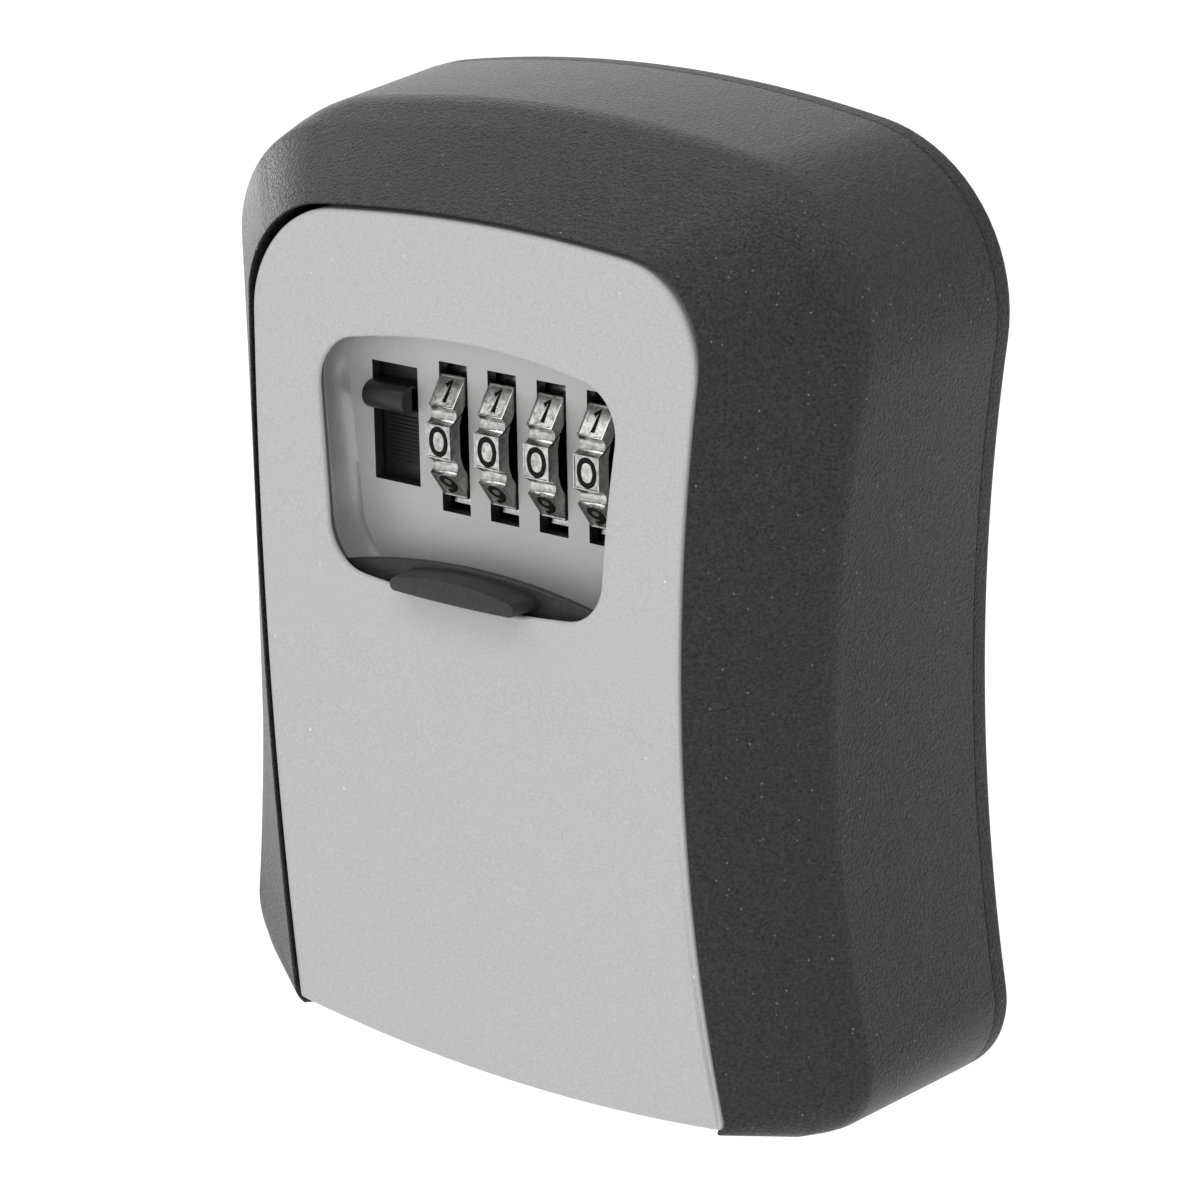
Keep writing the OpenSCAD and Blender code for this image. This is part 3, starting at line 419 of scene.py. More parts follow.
# Darker, more metallic copy of the tray's lacquer for the tray's wall: the metal gives the wall's satin look,
# the darker colour is painted shade under the window's edge
shaded_wall_coat = textured_coat("silver_lacquer_darkened_as_painted_shade_on_tray_wall", "#8e8e8e", "#9a9a9a", 0.4,
                          (0.4, 0.6), 0.25, 0.015, "#b8b8b8", 0.02, 1.6, 0.4)
# Spark-eroded mould: matt dark grey with a faint grain
shutter_abs = moulded_plastic("dark_grey_abs_spark_grain", "#161616", "#2c2c2c", 0.5, 0.25, 0.05)
# Finer mould: nearly black, with a soft highlight along the thumb ledge; on the dial plate's cut edges it is
# painted shade
black_abs_and_slot_shade = moulded_plastic("black_abs_fine_grain_and_slot_shade", "#141414", "#1e1e1e", 0.42, 0.3, 0.02)
# Matt black in the figures, with no highlight to break them up
digit_paint = moulded_plastic("black_enamel_wiped_into_figures", "#060606", "#0e0e0e", 0.6, 0.4, 0.01, 0.15)
# Thin bright plating on an uneven casting: patchy mirror glints on the lands
dial_zinc = worked_metal("nickel_plated_die_cast_zinc", "#9a9a98", "#d6d6d3", 0.19, 0.07, 0.7, EVEN, 0.03)
# Darker, duller copy of the wheel's zinc for its sides: painted shade where the wheels face each other, with
# blurred reflections
shaded_side_zinc = worked_metal("die_cast_zinc_sides_darkened_as_painted_shade", "#8a8a88", "#b0b0ae", 0.38, 0.1, 0.6, EVEN, 0.04)
# Painted shade in the wheel's dish, where the wheels face each other: dark and dull
dish_shade_zinc = worked_metal("die_cast_zinc_darkened_as_painted_shade_in_dish", "#1e1e1d", "#343433", 0.6, 0.1, 0.6, EVEN, 0.04)
# Tumbling evens out the casting skin to a satin grey
cover_zinc = worked_metal("tumbled_die_cast_zinc", "#888989", "#9a9b9b", 0.45, 0.07, 0.6, EVEN, 0.02)
# Drawing leaves fine lines across, and the plating a cool sheen
plain_steel = worked_metal("zinc_plated_drawn_steel", "#6c6e70", "#929494", 0.34, 0.08, 0.35, ACROSS, 0.01)
# Dark tempered wire with a thin bright line along each turn
spring_steel = worked_metal("oil_tempered_spring_wire", "#6f7072", "#9a9b9c", 0.35, 0.08, 0.3, UPRIGHT, 0.01)
# Bright plating that stands out from the dark plate
screw_steel = worked_metal("bright_zinc_plated_screw_steel", "#a3a5a6", "#cdcecd", 0.28, 0.08, 0.5, EVEN,
                           0.01)
# Turning lines spread the yellow sheen
sleeve_brass = worked_metal("turned_brass", "#9c7a3e", "#c9a45c", 0.3, 0.08, 0.3, ACROSS, 0.01)

NODE_FINISHES = {
    cover_zinc: ("mechanism_cover", "lock_fence"),
    plain_steel: ("strike_plate", "hinge_pin", "dial_shaft", "latch_plate"),
    spring_steel: ("detent_spring", "latch_spring"),
    screw_steel: ("back_plate_screws", "strike_screws", "cover_screws"),
    sleeve_brass: ("code_sleeve_1", "code_sleeve_2", "code_sleeve_3", "code_sleeve_4"),
    black_abs_and_slot_shade: ("reset_lever", "open_lever"),
    charcoal_coat: ("housing",),
    plate_coat: ("back_plate",),
    silver_coat: ("door_panel", "dial_plate"),
    shutter_abs: ("shutter",),
    dial_zinc: ("dial_wheel_1", "dial_wheel_2", "dial_wheel_3", "dial_wheel_4"),
}
for item, names in NODE_FINISHES.items():
    for name in names:
        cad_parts[name].data.materials.clear()
        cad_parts[name].data.materials.append(item)


# Pieces

def screw_seats():
    """Places of the back plate's screws, one in each rounded corner of the outline."""
    high, deep = centres(BACK_LINE)[3:]
    for centre, round_r, up in ((high, BACK_LINE.top_corner, 1), (deep, BACK_LINE.low_corner, -1)):
        reach = (round_r - WALL - PLATE_BOSS_R + PLATE_BOSS_BITE) * math.sqrt(0.5)
        for way in (-1, 1):
            yield way * (centre.x + reach), centre.y + up * reach


PLATE_SCREWS = list(screw_seats())


def housing_casting():
    """Waisted shell with a soft ridge, a crowned bevel and a rounded lip beside the door."""
    bm = bmesh.new()
    lip_inner = LIP_LINE._replace(low=LIP_LINE.low + WALL)
    rings = [
        outline(bm, BACK_LINE, lambda z: BACK_T + SEAM),
        outline(bm, RIDGE_LINE, ridge_d),
        outline(bm, CROWN_LINE, crown_d),
        outline(bm, LIP_LINE, lambda z: face_d(z) + LIP_PROUD),
        outline(bm, lip_inner, lambda z: face_d(z) - LIP_D),
        outline(bm, grown(RIDGE_LINE, -WALL), lambda z: ridge_d(z) - RIDGE_STEP),
        outline(bm, grown(BACK_LINE, -WALL), lambda z: BACK_T + SEAM),
    ]
    loft(bm, rings)
    back, ridge, lip, lip_in = rings[0], rings[1], rings[3], rings[4]
    for ring, rise in ((lip, 0), (lip_in, WALL)):
        for v in once(v for e in ring for v in e.verts):
            if v.co.z < FOOT_TOP and abs(v.co.x) < FOOT_HALF:
                v.co.y = -FLOOR_FRONT
                v.co.z = floor_z(v.co.x) + rise
    soften(bm, lip, LIP_ROUND, 6)
    soften(bm, ridge, RIDGE_ROUND, 8)
    soften(bm, back, CRISP_EDGE, 2)
    for side in (-1, 1):
        ear_notch(bm, *sorted((side * (EAR_IN - EAR_GAP), side * (EAR_OUT + EAR_GAP))))
        ends = ((side * x, HINGE_D, HINGE_Z) for x in (LUG_IN, LUG_OUT))
        rod(bm, *ends, EAR_R, rounding=ROUND_EDGE)
    for x, z in PLATE_SCREWS:
        rod(bm, (x, BACK_T + SEAM, z), (x, BACK_T + PLATE_BOSS_L, z), PLATE_BOSS_R, rounding=ROUND_EDGE)
    rib_z = (STRIKE_LOW, BACK_LINE.top - 2 * WALL)
    block(bm, (-STRIKE_HALF, STRIKE_HALF), (RIB_D, RIB_D + RIB_T), rib_z, RIB_EDGE)
    finish(bm, "housing_casting", "housing", [charcoal_coat], ["housing"])


def ear_notch(bm, x0, x1):
    """Cuts the floor through from the front edge back to the swing of a hinge ear."""
    beyond = BACK_LINE.low - 1
    low, high = (beyond, -FRONT_D, beyond), (-beyond, -BACK_T, FOOT_TOP)
    cuts = (((x0, 0, 0), (1, 0, 0)), ((x1, 0, 0), (1, 0, 0)), ((0, -NOTCH_D, 0), (0, 1, 0)))
    for spot, way in cuts:
        bmesh.ops.bisect_plane(bm, geom=within(bm, low, high), plane_co=spot, plane_no=way)
    gone = within(bm, (x0, -FRONT_D, beyond), (x1, -NOTCH_D, FOOT_TOP))
    bmesh.ops.delete(bm, geom=faces_of(gone), context="FACES")
    rim = [e for e in bm.edges if e.is_boundary]
    ends = [v for v in once(v for e in rim for v in e.verts) if abs(v.co.y + NOTCH_D) < TOUCH]
    posts = []
    for x in (x0, x1):
        pair = [v for v in ends if abs(v.co.x - x) < TOUCH]
        posts.append(bm.edges.new((min(pair, key=lambda v: v.co.z), max(pair, key=lambda v: v.co.z))))
    rear = [e for e in rim if all(abs(v.co.y + NOTCH_D) < TOUCH for v in e.verts)]
    bmesh.ops.edgeloop_fill(bm, edges=rear + posts)
    for x, post in zip((x0, x1), posts):
        flank = [e for e in rim if all(abs(v.co.x - x) < TOUCH for v in e.verts)]
        bmesh.ops.edgeloop_fill(bm, edges=flank + [post])


def rear_plate():
    """Flat plate behind the casting with a rounded rear edge and four wall holes."""
    bm = bmesh.new()
    loops = outline(bm, BACK_LINE, lambda z: 0)
    facing = Matrix.Rotation(math.pi / 2, 4, "X")
    for x in (-WALL_HOLE_X, WALL_HOLE_X):
        for z in (-WALL_HOLE_Z, WALL_HOLE_Z):
            spot = Matrix.Translation((x, 0, z)) @ facing
            made = bmesh.ops.create_circle(bm, segments=32, radius=WALL_HOLE_R, matrix=spot)["verts"]
            loops += once(e for v in made for e in v.link_edges)
    bmesh.ops.triangle_fill(bm, edges=loops, use_beauty=True, use_dissolve=False)
    made = bmesh.ops.extrude_face_region(bm, geom=bm.faces[:])["geom"]
    bmesh.ops.translate(bm, vec=(0, SEAM - BACK_T, 0), verts=verts_of(made))
    soften(bm, rim_at(bm, 0), PLATE_EDGE, 5)
    soften(bm, rim_at(bm, BACK_T - SEAM), CRISP_EDGE, 2)
    finish(bm, "rear_plate", "housing", [plate_coat], ["back_plate"])


def plate_screws():
    """Four countersunk screws that hold the plate to the casting."""
    bm = bmesh.new()
    tip = BACK_T + PLATE_BOSS_L - PLATE_SCREW_SPARE
    for x, z in PLATE_SCREWS:
        cross_screw(bm, x, z, -HEAD_PROUD, HEAD_R - SCREW_R, tip, SCREW_R)
    finish(bm, "plate_screws", "housing", [screw_steel], ["back_plate_screws"])


def lid_screws():
    """Four pan-head screws that hold the cover and the dial plate to the door."""
    bm = bmesh.new()
    for way in (-1, 1):
        for z in BOSS_ROWS:
            cross_screw(bm, way * BOSS_X, z, TAB_REAR - PAN_T, TAB_REAR, PLATE_D + LID_SCREW_BITE, HEAD_R)
    finish(bm, "lid_screws", "door", [screw_steel], ["cover_screws"])


def door_shell():
    """Bowed front skin with the dial window, its rolled edge, rim, hinge ears, bosses and shutter rails."""
    bm = bmesh.new()
    inner = grown(DOOR_LINE, -RIM_T)
    skin = lambda z: face_d(z) - SKIN_T
    rim = lambda z: RIM_REAR if z > RIM_FOOT else skin(z)
    rings = [
        outline(bm, DOOR_LINE, face_d),
        outline(bm, DOOR_LINE, rim),
        outline(bm, inner, rim),
        outline(bm, inner, skin),
        outline(bm, grown(WINDOW_LINE, UNDERCUT), skin),
        outline(bm, WINDOW_LINE, lambda z: face_d(z) - WINDOW_EDGE),
        outline(bm, WINDOW_LINE, face_d),
    ]
    across = loft(bm, rings)
    edge, window = rings[0], rings[6]
    for strip, depth in ((across[3], skin), (across[6], face_d)):
        made = bmesh.ops.subdivide_edges(bm, edges=strip, cuts=9, use_grid_fill=True)["geom_inner"]
        set_depth(verts_of(made), depth)
    soften(bm, edge, DOOR_EDGE, 5)
    soften(bm, window, WINDOW_ROLL, 4)
    for side in (-1, 1):
        x = sorted((side * EAR_IN, side * EAR_OUT))
        rod(bm, (x[0], HINGE_D, HINGE_Z), (x[1], HINGE_D, HINGE_Z), EAR_R, rounding=ROUND_EDGE)
        ear_z = (HINGE_Z - EAR_R / 2, HINGE_Z + EAR_R)
        block(bm, x, (HINGE_D, face_d(HINGE_Z) - SKIN_T / 2), ear_z, ROUND_EDGE)
        for z in BOSS_ROWS:
            foot, head = ((side * BOSS_X, d, z) for d in (PLATE_D, face_d(z) - SKIN_T / 2))
            rod(bm, foot, head, BOSS_R, rounding=SOFT_EDGE)
        rail = sorted((side * RAIL_X, side * (RAIL_X + RAIL_T)))
        curved_bar(bm, rail, (FRONT_D - RAIL_REAR, FRONT_D - SKIN_T / 2), (RAIL_LOW, WINDOW_LINE.top))
    finish(bm, "door_shell", "door", [silver_coat], ["door_panel"])


def curved_bar(bm, x, d, z):
    """Upright bar that follows the bow: its section, spun about the bow's axis."""
    corners = ((x[0], d[0]), (x[1], d[0]), (x[1], d[1]), (x[0], d[1]))
    verts = [bm.verts.new((a, -b, BOW_Z)) for a, b in corners]
    axis = (0, BOW_R - FRONT_D, BOW_Z)
    low, high = (math.asin((end - BOW_Z) / BOW_R) for end in z)
    bmesh.ops.rotate(bm, cent=axis, matrix=Matrix.Rotation(-low, 3, "X"), verts=verts)
    section = bm.faces.new(verts)
    bmesh.ops.spin(bm, geom=[section], cent=axis, axis=(-1, 0, 0), angle=high - low, steps=16)


def slot_loop(bm, x, z, depth):
    """Four-sided opening as a loop of edges."""
    corners = ((x[0], z[0]), (x[1], z[0]), (x[1], z[1]), (x[0], z[1]))
    verts = [bm.verts.new((a, -depth, b)) for a, b in corners]
    return [bm.edges.new((verts[i], verts[i - 1])) for i in range(4)]


def dial_tray():
    """Sunken plate with slots for lever and dials, and a wall that rolls into its floor."""
    bm = bmesh.new()
    plate = outline(bm, grown(DOOR_LINE, -RIM_T - SLIDE_FIT), lambda z: PLATE_D)
    bmesh.ops.edgeloop_fill(bm, edges=plate)
    for z, up in ((PLATE_TOP, 1), (PLATE_LOW, -1)):
        bmesh.ops.bisect_plane(bm, geom=bm.verts[:] + bm.edges[:] + bm.faces[:], plane_co=(0, 0, z),
                               plane_no=(0, 0, up), clear_outer=True)
    bmesh.ops.delete(bm, geom=bm.faces[:], context="FACES_ONLY")
    loops = bm.edges[:]
    lever_x = (LEVER_X0 - SLIDE_FIT, LEVER_X1 + SLIDE_FIT)
    loops += slot_loop(bm, lever_x, (LEVER_SLOT_LOW, LEVER_SLOT_TOP), PLATE_D)
    half = DIAL_W / 2 + SLOT_GAP
    for i in range(DIALS):
        x = FIRST_X + i * DIAL_PITCH
        loops += slot_loop(bm, (x - half, x + half), (SLOT_LOW, SLOT_TOP), PLATE_D)
    bmesh.ops.triangle_fill(bm, edges=loops, use_beauty=True, use_dissolve=False)
    made = bmesh.ops.extrude_face_region(bm, geom=bm.faces[:])["geom"]
    bmesh.ops.translate(bm, vec=(0, PLATE_T, 0), verts=verts_of(made))
    rims = [e for e in rim_at(bm, PLATE_D)
            if all(abs(v.co.x) < FIELD_HALF and FIELD_LOW < v.co.z < FIELD_TOP for v in e.verts)]
    soften(bm, rims, SLOT_EDGE, 2)
    # The plate's two faces take the tray's finish; its cut edges, the slot walls among them, take the dark
    # plastic as painted shade in the slots
    edgewise = 0.5
    for face in bm.faces:
        face.material_index = int(abs(face.normal.y) < edgewise)
    tray_front = lambda z: face_d(z) - TRAY_OFF
    rings = [
        outline(bm, grown(WINDOW_LINE, TRAY_OUT), lambda z: PLATE_D - OVERLAP),
        outline(bm, grown(WINDOW_LINE, TRAY_OUT), tray_front),
        outline(bm, grown(WINDOW_LINE, TRAY_IN), tray_front),
    ]
    for k in range(1, TRAY_STEPS + 1):
        lean = TRAY_LEAN * k / TRAY_STEPS
        along = 1 - (1 - math.cos(lean)) / (1 - math.cos(TRAY_LEAN))
        left = 1 - math.sin(lean) / math.sin(TRAY_LEAN)
        rings.append(outline(bm, grown(WINDOW_LINE, TRAY_FOOT + (TRAY_IN - TRAY_FOOT) * along),
                             lambda z: PLATE_D + TRAY_LIFT + left * (tray_front(z) - PLATE_D)))
    rings.append(outline(bm, grown(WINDOW_LINE, TRAY_FOOT), lambda z: PLATE_D - OVERLAP))
    plain = set(bm.faces)
    loft(bm, rings)
    # The wall and the rim in front of it take the darker lacquer: painted shade under the window's edge
    for face in bm.faces:
        if face not in plain:
            face.material_index = 2
    soften(bm, rings[2], FINE_EDGE, 2)
    for x in CHEEKS:
        rod(bm, (x[0], DIAL_D, DIAL_Z), (x[1], DIAL_D, DIAL_Z), CHEEK_R, rounding=SOFT_EDGE)
        block(bm, x, (DIAL_D, PLATE_D - PLATE_T / 2), (DIAL_Z - CHEEK_R, DIAL_Z + CHEEK_R), SOFT_EDGE)
    finish(bm, "dial_tray", "door", [tray_coat, black_abs_and_slot_shade, shaded_wall_coat], ["dial_plate"])


def shutter_leaf():
    """Thin bowed slide with an arched top and a grip bar."""
    bm = bmesh.new()
    low = SHUTTER_TOP - SHUTTER_H
    place = (Matrix.Translation((0, 0, low + SHUTTER_H / 2)) @ Matrix.Rotation(math.pi / 2, 4, "X")
             @ Matrix.Diagonal((SHUTTER_W, SHUTTER_H, 1, 1)))
    leaf = bmesh.ops.create_grid(bm, x_segments=24, y_segments=24, size=0.5, matrix=place)["verts"]
    for v in leaf:
        sag = SHUTTER_TOP_R - math.sqrt(SHUTTER_TOP_R ** 2 - v.co.x ** 2)
        v.co.z -= sag * (v.co.z - low) / SHUTTER_H
        v.co.y = SHUTTER_OFF - FRONT_D
    made = bmesh.ops.extrude_face_region(bm, geom=bm.faces[:])["geom"]
    bmesh.ops.translate(bm, vec=(0, SHUTTER_T, 0), verts=verts_of(made))
    soften(bm, [e for e in bm.edges if e.calc_face_angle(0) > SHARP], ROUND_EDGE, 3)
    bow(bm.verts)
    root = SHUTTER_OFF + SHUTTER_T / 2
    bar = outline(bm, GRIP_LINE, lambda z: FRONT_D - root)
    face = bmesh.ops.edgeloop_fill(bm, edges=bar)["faces"]
    front = verts_of(bmesh.ops.extrude_face_region(bm, geom=face)["geom"])
    bmesh.ops.translate(bm, vec=(0, -root - GRIP_OUT, 0), verts=front)
    bmesh.ops.scale(bm, vec=(GRIP_TAPER, 1, 1), verts=front)
    rim = once(e for v in front for e in v.link_edges if e.other_vert(v) in front)
    soften(bm, rim, GRIP_EDGE, 5)
    finish(bm, "shutter_leaf", "shutter", [shutter_abs], ["shutter"])


def opening_lever():
    """Slide with a round-nosed thumb ledge, a ribbed thumb face below it and the stem to the latch."""
    bm = bmesh.new()
    nose_r = LEDGE_H / 2
    nose_d, nose_z, ledge_low = PLATE_D + LEDGE_OUT - nose_r, LEDGE_TOP - nose_r, LEDGE_TOP - LEDGE_H
    slide_x, slide_d = (LEVER_X0 - SLIDER_SIDE, LEVER_X1), (SLIDER_D - SLIDER_T, SLIDER_D)
    root = SLIDER_D - OVERLAP
    block(bm, slide_x, slide_d, (SLIDER_LOW, SLIDER_TOP), FINE_EDGE)
    block(bm, (LEVER_X0, LEVER_X1), (root, nose_d), (ledge_low, LEDGE_TOP), CRISP_EDGE)
    rod(bm, (LEVER_X0, nose_d, nose_z), (LEVER_X1, nose_d, nose_z), nose_r, rounding=ROUND_EDGE)
    block(bm, (LEVER_X0, LEVER_X0 + STEM_W), (LATCH_D, root), (STEM_LOW, LEDGE_TOP), ROUND_EDGE)
    for i in range(THUMB_RIBS):
        z = ledge_low - THUMB_DROP - i * THUMB_PITCH
        rod(bm, (LEVER_X0 + THUMB_SIDE, SLIDER_D, z), (LEVER_X1 - THUMB_SIDE, SLIDER_D, z), THUMB_R, sides=10)
    finish(bm, "opening_lever", "latch", [black_abs_and_slot_shade], ["open_lever"])


# Strokes of the figures 0 to 9 in a square two units wide: closed or open, bent or straight, and their points
STROKES = (
    ((True, True, ((0.5, 1), (1, 0.5), (1, -0.5), (0.5, -1), (-0.5, -1), (-1, -0.5), (-1, 0.5), (-0.5, 1))),),
    ((False, False, ((-0.5, 0.5), (0.1, 1), (0.1, -1))),),
    ((False, True, ((-0.9, 0.5), (-0.4, 0.95), (0.4, 0.95), (0.85, 0.45), (0.5, -0.1), (-0.9, -1))),
     (False, False, ((-0.9, -1), (0.95, -1)))),
    ((False, True, ((-0.85, 0.75), (0, 1), (0.8, 0.55), (0, 0.05))),
     (False, True, ((0, 0.05), (0.9, -0.45), (0, -1), (-0.9, -0.7)))),
    ((False, False, ((0.5, -1), (0.5, 1), (-0.95, -0.35), (0.95, -0.35))),),
    ((False, False, ((0.8, 1), (-0.7, 1), (-0.8, 0.1))),
     (False, True, ((-0.8, 0.1), (0.1, 0.35), (0.9, -0.3), (0.1, -1), (-0.9, -0.75)))),
    ((False, True, ((0.7, 0.95), (-0.5, 0.4), (-0.9, -0.4), (0, -1), (0.9, -0.4), (0, 0.15),
                    (-0.85, -0.3))),),
    ((False, False, ((-0.9, 1), (0.9, 1), (-0.2, -1))),),
    ((True, True, ((0, 1), (0.75, 0.5), (0, 0.05), (-0.75, 0.5))),
     (True, True, ((0, 0.05), (0.9, -0.5), (0, -1), (-0.9, -0.5)))),
    ((False, True, ((-0.7, -0.95), (0.5, -0.4), (0.9, 0.4), (0, 1), (-0.9, 0.4), (0, -0.15), (0.85, 0.3))),),
)


def figure(strokes):
    """A plain number drawn with a round brush and pressed flat, as a mesh in the front view."""
    curve = bpy.data.curves.new("figure", "CURVE")
    curve.dimensions = "3D"
    curve.bevel_depth = STROKE_R
    curve.bevel_resolution = 3
    curve.use_fill_caps = True
    for closed, bent, points in strokes:
        line = curve.splines.new("BEZIER")
        line.use_cyclic_u = closed
        line.bezier_points.add(len(points) - 1)
        for knot, (x, y) in zip(line.bezier_points, points):
            knot.co = (x * (FIGURE_W / 2 - STROKE_R), y * (FIGURE_H / 2 - STROKE_R), 0)
            knot.handle_left_type = knot.handle_right_type = "AUTO" if bent else "VECTOR"
    holder = bpy.data.objects.new("figure", curve)
    bpy.context.scene.collection.objects.link(holder)
    mesh = bpy.data.meshes.new_from_object(holder.evaluated_get(bpy.context.evaluated_depsgraph_get()))
    bpy.data.objects.remove(holder)
    mesh.transform(Matrix.Diagonal((1, 1, FIGURE_PROUD / STROKE_R, 1)))
    return mesh


FIGURES = [figure(strokes) for strokes in STROKES]


def number_wheel(index):
    """Cast wheel: ten framed lands with figures, scooped grooves between them and dished sides."""
    bm = bmesh.new()
    hub = (0, 0, 0)
    step = 2 * math.pi / LANDS
    centre = Vector((0, GROOVE_IN - DIAL_FLAT / math.cos(step / 2), 0))
    land_half = (DIAL_FLAT * math.tan(step / 2) - GROOVE_IN * math.sin(step / 2)
                 - math.sqrt(GROOVE_R ** 2 - (GROOVE_IN * math.cos(step / 2)) ** 2))
    # One groove and the land above it, drawn in the wheel's plane and repeated round the axis
    half_groove = step / 2 - math.atan2(land_half, DIAL_FLAT)
    dial_r = math.hypot(DIAL_FLAT, land_half)
    tip = bm.verts.new((0, -dial_r * math.cos(half_groove), -dial_r * math.sin(half_groove)))
    arm = tip.co - centre
    scoop = 2 * math.atan2(-arm.z, arm.y)
    made = bmesh.ops.spin(bm, geom=[tip], cent=centre, axis=(1, 0, 0), angle=scoop, steps=10)
    land = bmesh.ops.extrude_vert_indiv(bm, verts=verts_of(made["geom_last"]))["verts"]
    bmesh.ops.rotate(bm, cent=hub, matrix=Matrix.Rotation(2 * half_groove - step, 3, "X"), verts=land)
    bmesh.ops.rotate(bm, cent=hub, matrix=Matrix.Rotation(step / 2, 3, "X"), verts=bm.verts)
    bmesh.ops.spin(bm, geom=bm.verts[:] + bm.edges[:], cent=hub, axis=(1, 0, 0), angle=2 * math.pi,
                   steps=LANDS, use_duplicate=True)
    bmesh.ops.remove_doubles(bm, verts=bm.verts, dist=TOUCH)
    left = bm.edges[:]
    profile = bm.verts[:] + left
    bmesh.ops.translate(bm, vec=(-DIAL_W / 2, 0, 0), verts=bm.verts)

    def ring(x, radius=None):
        """Copy of the toothed profile across the wheel, pressed round where a radius is given."""
        copy = bmesh.ops.duplicate(bm, geom=profile)["geom"]
        for v in verts_of(copy):
            v.co.x = x
            if radius:
                v.co.yz *= radius / v.co.yz.length
        return [e for e in copy if isinstance(e, bmesh.types.BMEdge)]

    right = ring(DIAL_W / 2)
    out, deep = DIAL_W / 2, DIAL_W / 2 - RECESS
    near = out - RIM_STEP
    loft(bm, [left, right, ring(out, RIM_R), ring(near, RIM_R), ring(near, RECESS_R), ring(deep, RECESS_R),
              ring(deep, BORE_R), ring(-deep, BORE_R), ring(-deep, RECESS_R), ring(-near, RECESS_R),
              ring(-near, RIM_R), ring(-out, RIM_R)])
    bmesh.ops.recalc_face_normals(bm, faces=bm.faces)
    spare, sideways = 0.1, 0.7
    broad = [f for f in bm.faces if f.calc_area() > DIAL_W * land_half]
    lands = [f for f in broad if f.calc_center_median().yz.length > DIAL_FLAT - spare]
    bmesh.ops.inset_individual(bm, faces=lands, thickness=FRAME_W, depth=0)
    bmesh.ops.inset_individual(bm, faces=lands, thickness=FRAME_SINK, depth=-FRAME_SINK)
    soften(bm, left + right, FINE_EDGE, 2)
    cast = set(bm.faces)
    for number, mesh in enumerate(FIGURES):
        kept = set(bm.verts)
        bm.from_mesh(mesh)
        fresh = [v for v in bm.verts if v not in kept]
        lay = (Matrix.Rotation(-number * step, 4, "X") @ Matrix.Translation((0, FRAME_SINK - DIAL_FLAT, 0))
               @ Matrix.Rotation(math.pi / 2, 4, "X"))
        bmesh.ops.transform(bm, matrix=lay, verts=fresh)
    # Figures take the black paint; the dish and the sides take darker zinc, painted shade between the wheels
    for face in bm.faces:
        middle = face.calc_center_median()
        dished = abs(middle.x) < out - RIM_STEP / 2 and middle.yz.length < RIM_R + spare
        if face not in cast:
            face.material_index = 1
        elif dished:
            face.material_index = 2
        elif abs(face.normal.x) > sideways:
            face.material_index = 3
        else:
            face.material_index = 0
    bmesh.ops.translate(bm, vec=(FIRST_X + index * DIAL_PITCH, -DIAL_D, DIAL_Z), verts=bm.verts)
    which = str(index + 1)
    finish(bm, "number_wheel_" + which, "dial_" + which,
           [dial_zinc, digit_paint, dish_shade_zinc, shaded_side_zinc], ["dial_wheel_" + which])


def coil_spring():
    """Compression spring: a wire section wound round its axis."""
    bm = bmesh.new()
    length = SPRING_TOP - SPRING_LOW
    place = (Matrix.Translation((SPRING_X + COIL_R, -SPRING_D, SPRING_LOW))
             @ Matrix.Rotation(math.pi / 2, 4, "X"))
    ring = bmesh.ops.create_circle(bm, segments=10, radius=WIRE_R, matrix=place, cap_ends=True)["verts"]
    section = once(f for v in ring for f in v.link_faces)
    steps = TURNS * TURN_STEPS
    bmesh.ops.spin(bm, geom=section, cent=(SPRING_X, -SPRING_D, 0), axis=(0, 0, -1),
                   angle=2 * math.pi * TURNS, dvec=(0, 0, length / steps), steps=steps)
    piece = finish(bm, "coil_spring", "door", [spring_steel], ["latch_spring"])
    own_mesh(piece)


housing_casting()
rear_plate()
plate_screws()
lid_screws()
door_shell()
dial_tray()
shutter_leaf()
opening_lever()
for wheel in range(DIALS):
    number_wheel(wheel)
coil_spring()

# Camera at the photograph's angle, as a fit to its outline gave it
TURN, RISE, ROLL = (math.radians(angle) for angle in (39.785, 17.639, -1.047))
CAMERA_AT = Vector((330.06, -411.65, 160.95))
SENSOR_W, FOCAL_PIXELS, PHOTO_PIXELS = 36, 4477.2, 1200
back = Vector((math.sin(TURN) * math.cos(RISE), -math.cos(TURN) * math.cos(RISE), math.sin(RISE)))
right = Vector((math.cos(TURN), math.sin(TURN), 0))
up = back.cross(right)
axes = (right * math.cos(ROLL) + up * math.sin(ROLL), up * math.cos(ROLL) - right * math.sin(ROLL), back)
camera = bpy.data.objects.new("camera", bpy.data.cameras.new("camera"))
bpy.context.scene.collection.objects.link(camera)
camera.data.sensor_width = SENSOR_W
camera.data.lens = SENSOR_W * FOCAL_PIXELS / PHOTO_PIXELS
camera.matrix_world = Matrix.Translation(CAMERA_AT * MM) @ Matrix(axes).transposed().to_4x4()
bpy.context.scene.camera = camera

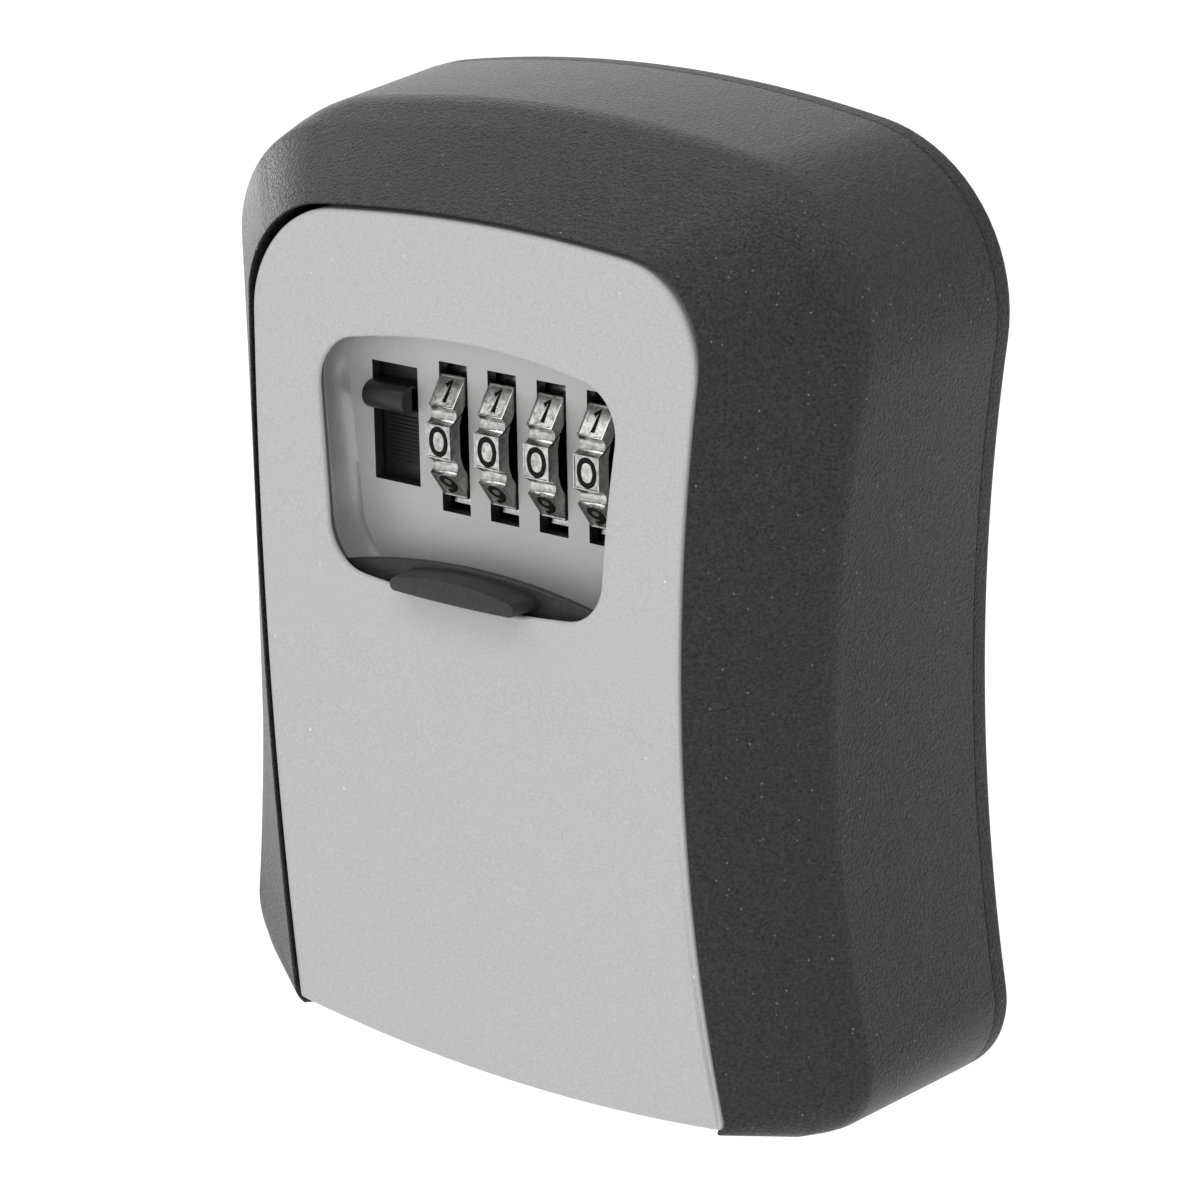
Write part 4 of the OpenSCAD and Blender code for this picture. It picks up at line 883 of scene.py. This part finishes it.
# Pale floor below the open door, sizes in metres
FLOOR_HALF, FLOOR_Z = 6, -0.09
floor_mesh = bpy.data.meshes.new("floor")
bm = bmesh.new()
level = Matrix.Translation((0, 0, FLOOR_Z))
bmesh.ops.create_grid(bm, x_segments=1, y_segments=1, size=FLOOR_HALF, matrix=level)
bm.to_mesh(floor_mesh)
bm.free()
floor = bpy.data.objects.new("floor", floor_mesh)
bpy.context.scene.collection.objects.link(floor)
# Lit from within, so that floor and backdrop run together as one white
pale = plain_finish("matt_white_sweep", {"Roughness": 0.9, "Base Color": linear("#808080"),
                                         "Emission Color": linear("#ffffff"), "Emission Strength": 0.85})[0]
floor_mesh.materials.append(pale)

# White backdrop up to a low height, dim ceiling above it
world = bpy.data.worlds.new("studio")
bpy.context.scene.world = world
world.use_nodes = True
backdrop = world.node_tree.nodes["Background"]
backdrop.inputs["Color"].default_value = linear("#ffffff")
way = add(world.node_tree, "TexCoord", {}).outputs["Generated"]
height = add(world.node_tree, "SeparateXYZ", {"Vector": way}).outputs["Z"]
dusk = add(world.node_tree, "MapRange", {"Value": height, "From Min": 0.36, "From Max": 0.56, "To Min": 0.85,
                                         "To Max": 0.25}, interpolation_type="SMOOTHSTEP")
world.node_tree.links.new(dusk.outputs["Result"], backdrop.inputs["Strength"])


def softbox(name, place, aim, size, power):
    """Square soft light at a place in metres, turned to what it lights."""
    lamp = bpy.data.objects.new(name, bpy.data.lights.new(name, "AREA"))
    bpy.context.scene.collection.objects.link(lamp)
    lamp.data.size = size
    lamp.data.energy = power
    lamp.location = place
    lamp.rotation_euler = (Vector(aim) - Vector(place)).to_track_quat("-Z", "Y").to_euler()


softbox("overhead_softbox", (-0.1, 0.35, 0.9), (0, 0, 0), 0.9, 5)
softbox("left_softbox", (-0.95, 0.6, 0.35), (0, 0, 0), 1.1, 2.2)
softbox("low_left_softbox", (-0.9, 0.22, -0.04), (0, 0, -0.04), 0.3, 1.3)
softbox("front_softbox", (0.7, -1.1, 0.2), (0, 0, 0), 0.8, 1.9)
softbox("right_strip_light", (0.4, -0.14, -0.04), (0, 0, -0.01), 0.06, 0.15)
softbox("upper_right_softbox", (0.32, -0.38, 0.8), (0.03, -0.03, 0.04), 0.22, 1.5)
softbox("key_softbox", (-0.51, -0.4, 1.02), (0, 0, 0), 0.8, 5)
bpy.context.scene.view_settings.view_transform = "Standard"
